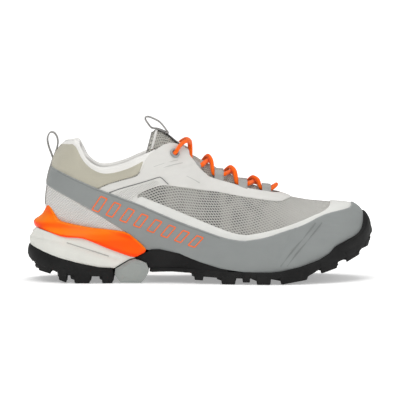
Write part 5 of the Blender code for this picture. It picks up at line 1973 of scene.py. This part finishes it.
@dataclass
class HeelUnit:
    """White heel midsole and the orange frame round it."""

    last: Last
    stations: int = 360
    rows: int = 46
    top: float = 70.0
    back: float = -139.5
    skin: Skin = field(default_factory=lambda: Skin(np.zeros((0, 11)), np.zeros((0, 3), int)))

    def __post_init__(self) -> None:
        """Make the wall round the sole that both pieces are cut from."""
        plan = np.array(curve_points(SOLE_OUTER + SOLE_INNER, 24, closed=True))
        keep = plan[:, 0] < -30.0
        first = int(np.argmax(keep & ~np.roll(keep, 1)))
        plan = np.roll(plan, -first, axis=0)
        plan = plan[: int(keep.sum())]
        step = run_lengths(plan)
        lengths = np.linspace(0.0, step[-1], self.stations)
        plan = np.stack([np.interp(lengths, step, plan[:, k]) for k in (0, 1)], 1)
        run = np.gradient(plan, axis=0)
        run /= np.linalg.norm(run, axis=1, keepdims=True)
        inward = np.stack([-run[:, 1], run[:, 0]], 1)
        inward *= np.sign((inward * (np.array([-80.0, 0.0]) - plan)).sum(1))[:, None]
        data = self.last.skin.data
        ring = data[(data[:, 2] > 50.0) & (data[:, 2] < 58.0)]
        gaps = []
        for spot in plan:
            gaps.append(max(np.linalg.norm(ring[:, :2] - spot, axis=1).min() - 1.2, 3.0))
        gap = np.convolve(np.pad(gaps, 6, mode="edge"), np.ones(13) / 13.0, mode="valid")
        z = np.linspace(8.0, self.top, self.rows)
        share = np.interp(z, *np.transpose(WALL_INSET))
        inset = gap[:, None] * share[None, :]
        place = np.zeros((self.stations, self.rows, 3))
        place[:, :, :2] = plan[:, None, :] + inward[:, None, :] * inset[:, :, None]
        place[:, :, 2] = z[None, :]
        normal = np.zeros_like(place)
        normal[:, :, :2] = -inward[:, None, :]
        n, m = self.stations, self.rows
        rounded = np.broadcast_to(lengths[:, None], (n, m))
        flat = np.stack([rounded, place[:, :, 2], place[:, :, 0], place[:, :, 2],
                         np.broadcast_to(gap[:, None], (n, m))], -1)
        index = np.arange(n * m).reshape(n, m)
        a, b, c, d = index[:-1, :-1], index[1:, :-1], index[1:, 1:], index[:-1, 1:]
        faces = np.vstack([np.stack([a, b, c], -1).reshape(-1, 3), np.stack([a, c, d], -1).reshape(-1, 3)])
        self.skin = Skin(np.hstack([place.reshape(-1, 3), normal.reshape(-1, 3), flat.reshape(-1, 5)]), faces)

    def side(self, outline: Table) -> np.ndarray:
        """Distance inside a side outline at each point of the wall; its rear end goes on round the back."""
        place = self.skin.place()
        return inside_by(softened(outline, 1), np.maximum(place[:, 0], self.back), place[:, 2])

    def build(self) -> None:
        """Make the frame and the midsole."""
        def folded(skin: Skin, depth: np.ndarray) -> np.ndarray:
            """Ridge along the frame, its upper face leaning in and its lower face upright.

            Args:
                skin: the cut surface.
                depth: distance inside the outline at each point; not used here.

            Returns:
                Extra height at each point.
            """
            x, z, gap = skin.data[:, 0], skin.data[:, 2], skin.data[:, 10]
            ridge = along(FRAME_RIDGE, x)
            over = np.clip(z - ridge, 0.0, None)
            under = np.clip(ridge - z, 0.0, None)
            crown = 1.6 - 0.28 * over - 0.16 * under
            return np.maximum(crown, -2.0) + 0.25 * np.clip(gap - 8.0, 0.0, 8.0) * np.exp(
                -((z - 51.5) / 3.0) ** 2
            )

        frame_piece = Cut("heel_frame_shell", 0.3, -8.0, 1.3, 1.1).make(
            self.skin, self.side(HEEL_FRAME), folded
        )
        finished(frame_piece, ORANGE, "heel_frame")

        def bulged(skin: Skin, depth: np.ndarray) -> np.ndarray:
            """Crease above a soft bulge.

            Args:
                skin: the cut surface.
                depth: distance inside the outline at each point; not used here.

            Returns:
                Extra height at each point.
            """
            x, z = skin.data[:, 0], skin.data[:, 2]
            below = along(MIDSOLE_CREASE, x) - z
            crease = -1.1 * np.exp(-(below / 0.8) ** 2)
            bulge = 0.9 * np.exp(-((below - 5.0) / 3.6) ** 2)
            return (crease + bulge) * smoothstep(-x, 60.0, 74.0) - 0.9

        depth = self.side(MIDSOLE_HEEL)
        depth = np.minimum(depth, -self.side(HEEL_FRAME) + 1.5)
        piece = Cut("heel_midsole_wall", 0.0, -14.0, 1.6, 1.4).make(self.skin, depth, bulged)
        finished(piece, MIDSOLE_WHITE)
        # Painted shade: grey lines laid in the crease of the midsole.
        for side, word in ((-1, "outer"), (1, "inner")):
            path = curve_points(MIDSOLE_CREASE[1:4], 12)
            line_along("midsole_crease_shade_" + word, self.skin, path, side, -1.0, 0.42, FOAM_CREASE_SHADE)


@dataclass
class Outsole:
    """Black rubber under the heel and the forefoot, with separate lugs, and the arch insert."""

    last: Last
    block: List[np.ndarray] = field(default_factory=list)
    plan: np.ndarray = field(default_factory=lambda: np.array(curve_points(SOLE_OUTER + SOLE_INNER, 12,
                                                                           closed=True)))

    def edge(self, x: float, side: int) -> float:
        """How far out the sole reaches at x on one side.

        Args:
            x: place along the shoe.
            side: -1 for the outer side, 1 for the inner.

        Returns:
            Distance from the middle plane, with its sign.
        """
        here = self.plan[self.plan[:, 1] * side >= 0.0]
        order = np.argsort(here[:, 0])
        return float(np.interp(x, here[order, 0], here[order, 1]))

    def model_lug(self) -> None:
        """Model one lug block of unit size with bevelled edges."""
        bpy.ops.object.select_all(action="DESELECT")
        bpy.ops.mesh.primitive_cube_add(size=1.0, location=(0.0, 0.0, 0.0))
        block = bpy.context.object
        bpy.ops.object.mode_set(mode="EDIT")
        bpy.ops.mesh.select_all(action="SELECT")
        bpy.ops.mesh.bevel(offset=0.08, segments=2, affect="EDGES")
        bpy.ops.object.mode_set(mode="OBJECT")
        places = np.array([tuple(v.co) for v in block.data.vertices])
        faces = [tuple(p.vertices) for p in block.data.polygons]
        bpy.data.objects.remove(block, do_unlink=True)
        self.block = [places, faces]

    def lug(self, corners: Sequence[Point2], low: Point2, high: float) -> Tuple[np.ndarray, List]:
        """One lug between four corners in plan, narrower at the ground.

        Args:
            corners: rear outer, front outer, front inner, rear inner.
            low: heights of its ground face at the rear and the front.
            high: height of its root.

        Returns:
            Its points and faces.
        """
        places, faces = self.block
        c = np.array(corners, float)
        middle = c.mean(0)
        u, v, w = places[:, 0:1] + 0.5, places[:, 1:2] + 0.5, places[:, 2:3] + 0.5
        spot = (1 - u) * (1 - v) * c[0] + u * (1 - v) * c[1] + u * v * c[2] + (1 - u) * v * c[3]
        spot = middle + (spot - middle) * (0.86 + 0.14 * w)
        ground = low[0] + (low[1] - low[0]) * u
        return np.hstack([spot, ground + (high - ground) * w]), faces

    def rows(self, table: Sequence[Tuple[float, float, float, float]], floor: Table, climb: float) -> Tuple[
            np.ndarray, List]:
        """Rows of lugs across the sole.

        Args:
            table: rear, front and the ground heights at both of each row.
            floor: height of the sole's underside along the shoe.
            climb: how far the outermost lugs climb the side wall.

        Returns:
            Points and faces of all of them.
        """
        points, faces, count = [], [], 0
        for number, (rear, front, low, ahead) in enumerate(table):
            middle = (rear + front) / 2.0
            root = at(floor, middle)
            for side in (-1, 1):
                reach = self.edge(middle, side) * side
                near, far = self.edge(rear, side), self.edge(front, side)
                spans = [(1.012, 0.7, climb, 0.0), (0.6, 0.14 if number % 2 else 0.2, 1.0, 0.35)]
                for out, inn, rise, lean in spans:
                    if reach < 16.0 and lean > 0.0:
                        continue
                    shift = lean * (front - rear)
                    corners = [
                        (rear + 0.3 * shift, near * out), (front + 0.3 * shift, far * out),
                        (front - shift, far * inn), (rear - shift, near * inn),
                    ]
                    lift = 0.4 if lean else 0.0
                    places, kept = self.lug(corners, (low + lift, ahead + lift), root + rise)
                    points.append(places)
                    faces += [tuple(i + count for i in f) for f in kept]
                    count += len(places)
        return np.vstack(points), faces

    def shell(self, name: str, x_from: float, x_to: float, floor: Table, brow: Table) -> bpy.types.Object:
        """Cup of rubber with rounded lower edges under part of the sole.

        Args:
            name: name of the piece.
            x_from: its rear end.
            x_to: its front end.
            floor: height of its underside along the shoe.
            brow: height of its upper edge along the shoe.

        Returns:
            The closed shell.
        """
        inside = (self.plan[:, 0] > x_from) & (self.plan[:, 0] < x_to)
        first = int(np.argmax(inside & ~np.roll(inside, 1)))
        loop = np.roll(self.plan, -first, axis=0)[: int(inside.sum())]
        end_a, end_b = loop[-1], loop[0]
        across = np.linspace(0.0, 1.0, 14)[1:-1, None]
        loop = np.vstack([loop, end_a + (end_b - end_a) * across])
        run = np.roll(loop, -1, axis=0) - np.roll(loop, 1, axis=0)
        run /= np.maximum(np.linalg.norm(run, axis=1, keepdims=True), 1e-9)
        inward = np.stack([-run[:, 1], run[:, 0]], 1)
        if ((loop.mean(0) - loop) * inward).sum() < 0.0:
            inward = -inward
        inward[-12:] *= 0.3
        low, high = along(floor, loop[:, 0]), along(brow, loop[:, 0])
        rows = []
        for inset, share, rise in (
            (7.0, 0.0, 2.5), (2.2, 0.0, 0.0), (0.7, 0.0, 0.7), (0.0, 0.0, 2.0), (0.2, 0.55, 0.0),
            (1.0, 0.9, 0.0),
            (2.0, 1.0, 0.0), (7.5, 1.0, -0.6),
        ):
            spot = loop + inward * inset
            rows.append(np.hstack([spot, (low + (high - low) * share + rise)[:, None]]))
        rows = np.array(rows)
        count = len(loop)
        faces = []
        for k in range(len(rows) - 1):
            for i in range(count):
                j = (i + 1) % count
                faces.append((k * count + i, k * count + j, (k + 1) * count + j, (k + 1) * count + i))
        top = (len(rows) - 1) * count
        faces += [tuple(range(count)), tuple(range(top, top + count))]
        return fresh(name, rows.reshape(-1, 3), faces)

    def plate(self, name: str, x_from: float, x_to: float, floor: Table) -> bpy.types.Object:
        """Underside of the sole between its rounded edges.

        Args:
            name: name of the piece.
            x_from: rear end.
            x_to: front end.
            floor: heights of the underside along the shoe.

        Returns:
            The plate.
        """
        stations, across = 70, 13
        points = []
        for rise in (0.0, 2.6):
            for x in np.linspace(x_from, x_to, stations):
                low, high = self.edge(x, -1) * 0.955, self.edge(x, 1) * 0.955
                for y in np.linspace(low, high, across):
                    groove = 0.5 * math.cos(0.45 * (x + 0.4 * abs(y))) ** 8
                    points.append((x, y, at(floor, x) + rise + groove * (rise == 0.0)))
        size = stations * across
        faces = []
        for i in range(stations - 1):
            for j in range(across - 1):
                a = i * across + j
                faces.append((a, a + 1, a + across + 1, a + across))
                faces.append((a + size, a + across + size, a + across + 1 + size, a + 1 + size))
        loop = list(range(across)) + [i * across + across - 1 for i in range(1, stations)]
        loop += [size - across + j for j in range(across - 2, -1, -1)]
        loop += [i * across for i in range(stations - 2, 0, -1)]
        for a, b in zip(loop, loop[1:] + loop[:1]):
            faces.append((a, b, b + size, a + size))
        return fresh(name, np.array(points), faces)

    def arch(self) -> None:
        """Faceted insert between the heel and the forefoot."""
        outline = np.array(ARCH_OUTLINE)
        middle = outline.mean(0) + np.array([-1.5, 1.5])
        raised = middle + (outline - middle) * 0.6
        rows = []
        for side in (-1, 1):
            edge = self.edge(-58.0, side)
            near = np.stack([outline[:, 0], np.full(len(outline), edge - side * 0.5), outline[:, 1]], 1)
            proud = np.stack([raised[:, 0], np.full(len(raised), edge + side * 1.8), raised[:, 1]], 1)
            rows += [proud, near] if side < 0 else [near, proud]
        rows = np.array(rows)
        count = len(outline)
        faces = []
        for k in range(3):
            for i in range(count):
                j = (i + 1) % count
                faces.append((k * count + i, k * count + j, (k + 1) * count + j, (k + 1) * count + i))
        faces += [tuple(range(count)), tuple(range(3 * count, 4 * count))]
        piece = fresh("arch_block", rows.reshape(-1, 3), faces)
        piece.data.shade_flat()
        finished(piece, ARCH_GREY, "arch_insert")

    def build(self) -> None:
        """Make both rubber soles, their lugs and the insert."""
        self.model_lug()
        for word, node, x_from, x_to, floor, brow, table, climb in (
            ("heel", "outsole_heel", -160.0, -73.6, HEEL_FLOOR, HEEL_BROW, HEEL_LUGS, 5.0),
            ("forefoot", "outsole_forefoot", -43.6, 160.0, FRONT_FLOOR, FRONT_BROW, FRONT_LUGS, 4.0),
        ):
            finished(self.shell(word + "_rubber", x_from, x_to, floor, brow), RUBBER_BLACK, node)
            ends = (max(x_from, -143.0), min(x_to, 143.0))
            finished(self.plate(word + "_tread_plate", ends[0] + 0.4, ends[1] - 0.4, floor), RUBBER_BLACK)
            points, faces = self.rows(table, floor, climb)
            finished(fresh(word + "_lugs", points, faces), RUBBER_BLACK)
        self.arch()


@dataclass
class CadFinishes:
    """Better materials for the CAD nodes that stay."""

    coats: Dict[str, Finish] = field(default_factory=lambda: {
        "midsole_heel": MIDSOLE_WHITE, "midsole_forefoot": MIDSOLE_BLACK, "insole_board": BOARD_FIBRE,
        "footbed": FOOTBED_GREY, "heel_counter": STIFF_FIBRE, "toe_puff": STIFF_FIBRE,
    })

    def build(self) -> None:
        """Dress every CAD node that shows or lies inside."""
        for name, coat in self.coats.items():
            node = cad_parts[name]
            for place in node.material_slots:
                place.material = coat.material()


@dataclass
class Studio:
    """Pale floor, soft lights and the camera."""

    aim: Point3 = (0.0, 0.0, 0.0685)
    lift: float = 4.4
    lens: float = 300.0
    distance: float = 2.89
    sky: float = 0.5

    def build(self) -> None:
        """Set up the floor, the lights and the camera."""
        bpy.ops.object.select_all(action="DESELECT")
        bpy.ops.mesh.primitive_plane_add(size=14.0, location=(0.0, 0.0, -0.0002))
        floor = bpy.context.object
        floor.name = "floor"
        paint = bpy.data.materials.new("floor_paint")
        paint.use_nodes = True
        shader = paint.node_tree.nodes["Principled BSDF"]
        shader.inputs["Base Color"].default_value = (0.93, 0.93, 0.925, 1.0)
        shader.inputs["Roughness"].default_value = 0.95
        shader.inputs["Specular IOR Level"].default_value = 0.1
        shader.inputs["Emission Color"].default_value = (1.0, 1.0, 1.0, 1.0)
        glow = Wiring(paint.node_tree)
        reach = glow.add("ShaderNodeVectorMath", operation="LENGTH")
        paint.node_tree.links.new(glow.add("ShaderNodeTexCoord").outputs["Object"], reach.inputs[0])
        far = glow.ramp(reach.outputs["Value"], 0.2, 0.7)
        paint.node_tree.links.new(glow.maths("MULTIPLY_ADD", far, 0.3, 0.33),
                                  shader.inputs["Emission Strength"])
        floor.data.materials.append(paint)
        world = bpy.data.worlds.new("studio")
        bpy.context.scene.world = world
        world.use_nodes = True
        w = Wiring(world.node_tree)
        seen = w.add("ShaderNodeLightPath").outputs["Is Camera Ray"]
        sky = world.node_tree.nodes["Background"]
        sky.inputs[0].default_value = (1.0, 1.0, 1.0, 1.0)
        world.node_tree.links.new(w.maths("MULTIPLY_ADD", seen, 0.95, self.sky), sky.inputs[1])
        self._lamp("key", (-0.5, -1.1, 1.6), (0.0, 0.0, 0.06), 0.9, 9.5)
        self._lamp("fill", (1.3, -1.2, 0.8), (0.05, 0.0, 0.05), 1.2, 5.0)
        self._lamp("overhead", (0.15, 0.3, 1.8), (0.0, 0.0, 0.05), 1.2, 13.0)
        data = bpy.data.cameras.new("camera")
        data.lens = self.lens
        data.sensor_width = 36.0
        data.clip_start, data.clip_end = 0.1, 50.0
        camera = bpy.data.objects.new("camera", data)
        bpy.context.scene.collection.objects.link(camera)
        angle = math.radians(self.lift)
        back = Vector((0.0, -math.cos(angle), math.sin(angle)))
        camera.location = Vector(self.aim) + back * self.distance
        camera.rotation_euler = (-back).to_track_quat("-Z", "Y").to_euler()
        bpy.context.scene.camera = camera
        bpy.context.scene.view_settings.view_transform = "Standard"

    def _lamp(self, name: str, place: Point3, target: Point3, size: float, power: float) -> None:
        """Square soft light that looks at a point.

        Args:
            name: name of the light.
            place: where it hangs.
            target: where it looks.
            size: its side.
            power: its power.
        """
        data = bpy.data.lights.new(name, "AREA")
        data.shape = "SQUARE"
        data.size = size
        data.energy = power
        lamp = bpy.data.objects.new(name, data)
        bpy.context.scene.collection.objects.link(lamp)
        lamp.location = place
        lamp.rotation_euler = (Vector(target) - Vector(place)).to_track_quat("-Z", "Y").to_euler()


def main() -> None:
    """Build the shoe's looks, one sub-assembly after another."""
    logging.basicConfig(level=logging.INFO, format="%(message)s")
    Studio().build()
    last = Last()
    for part in (Lacing(last), Upper(last), Collar(last), Tongue(), PullLoops(), HeelUnit(last),
                 Outsole(last), CadFinishes()):
        part.build()


if __name__ == "__main__":
    main()
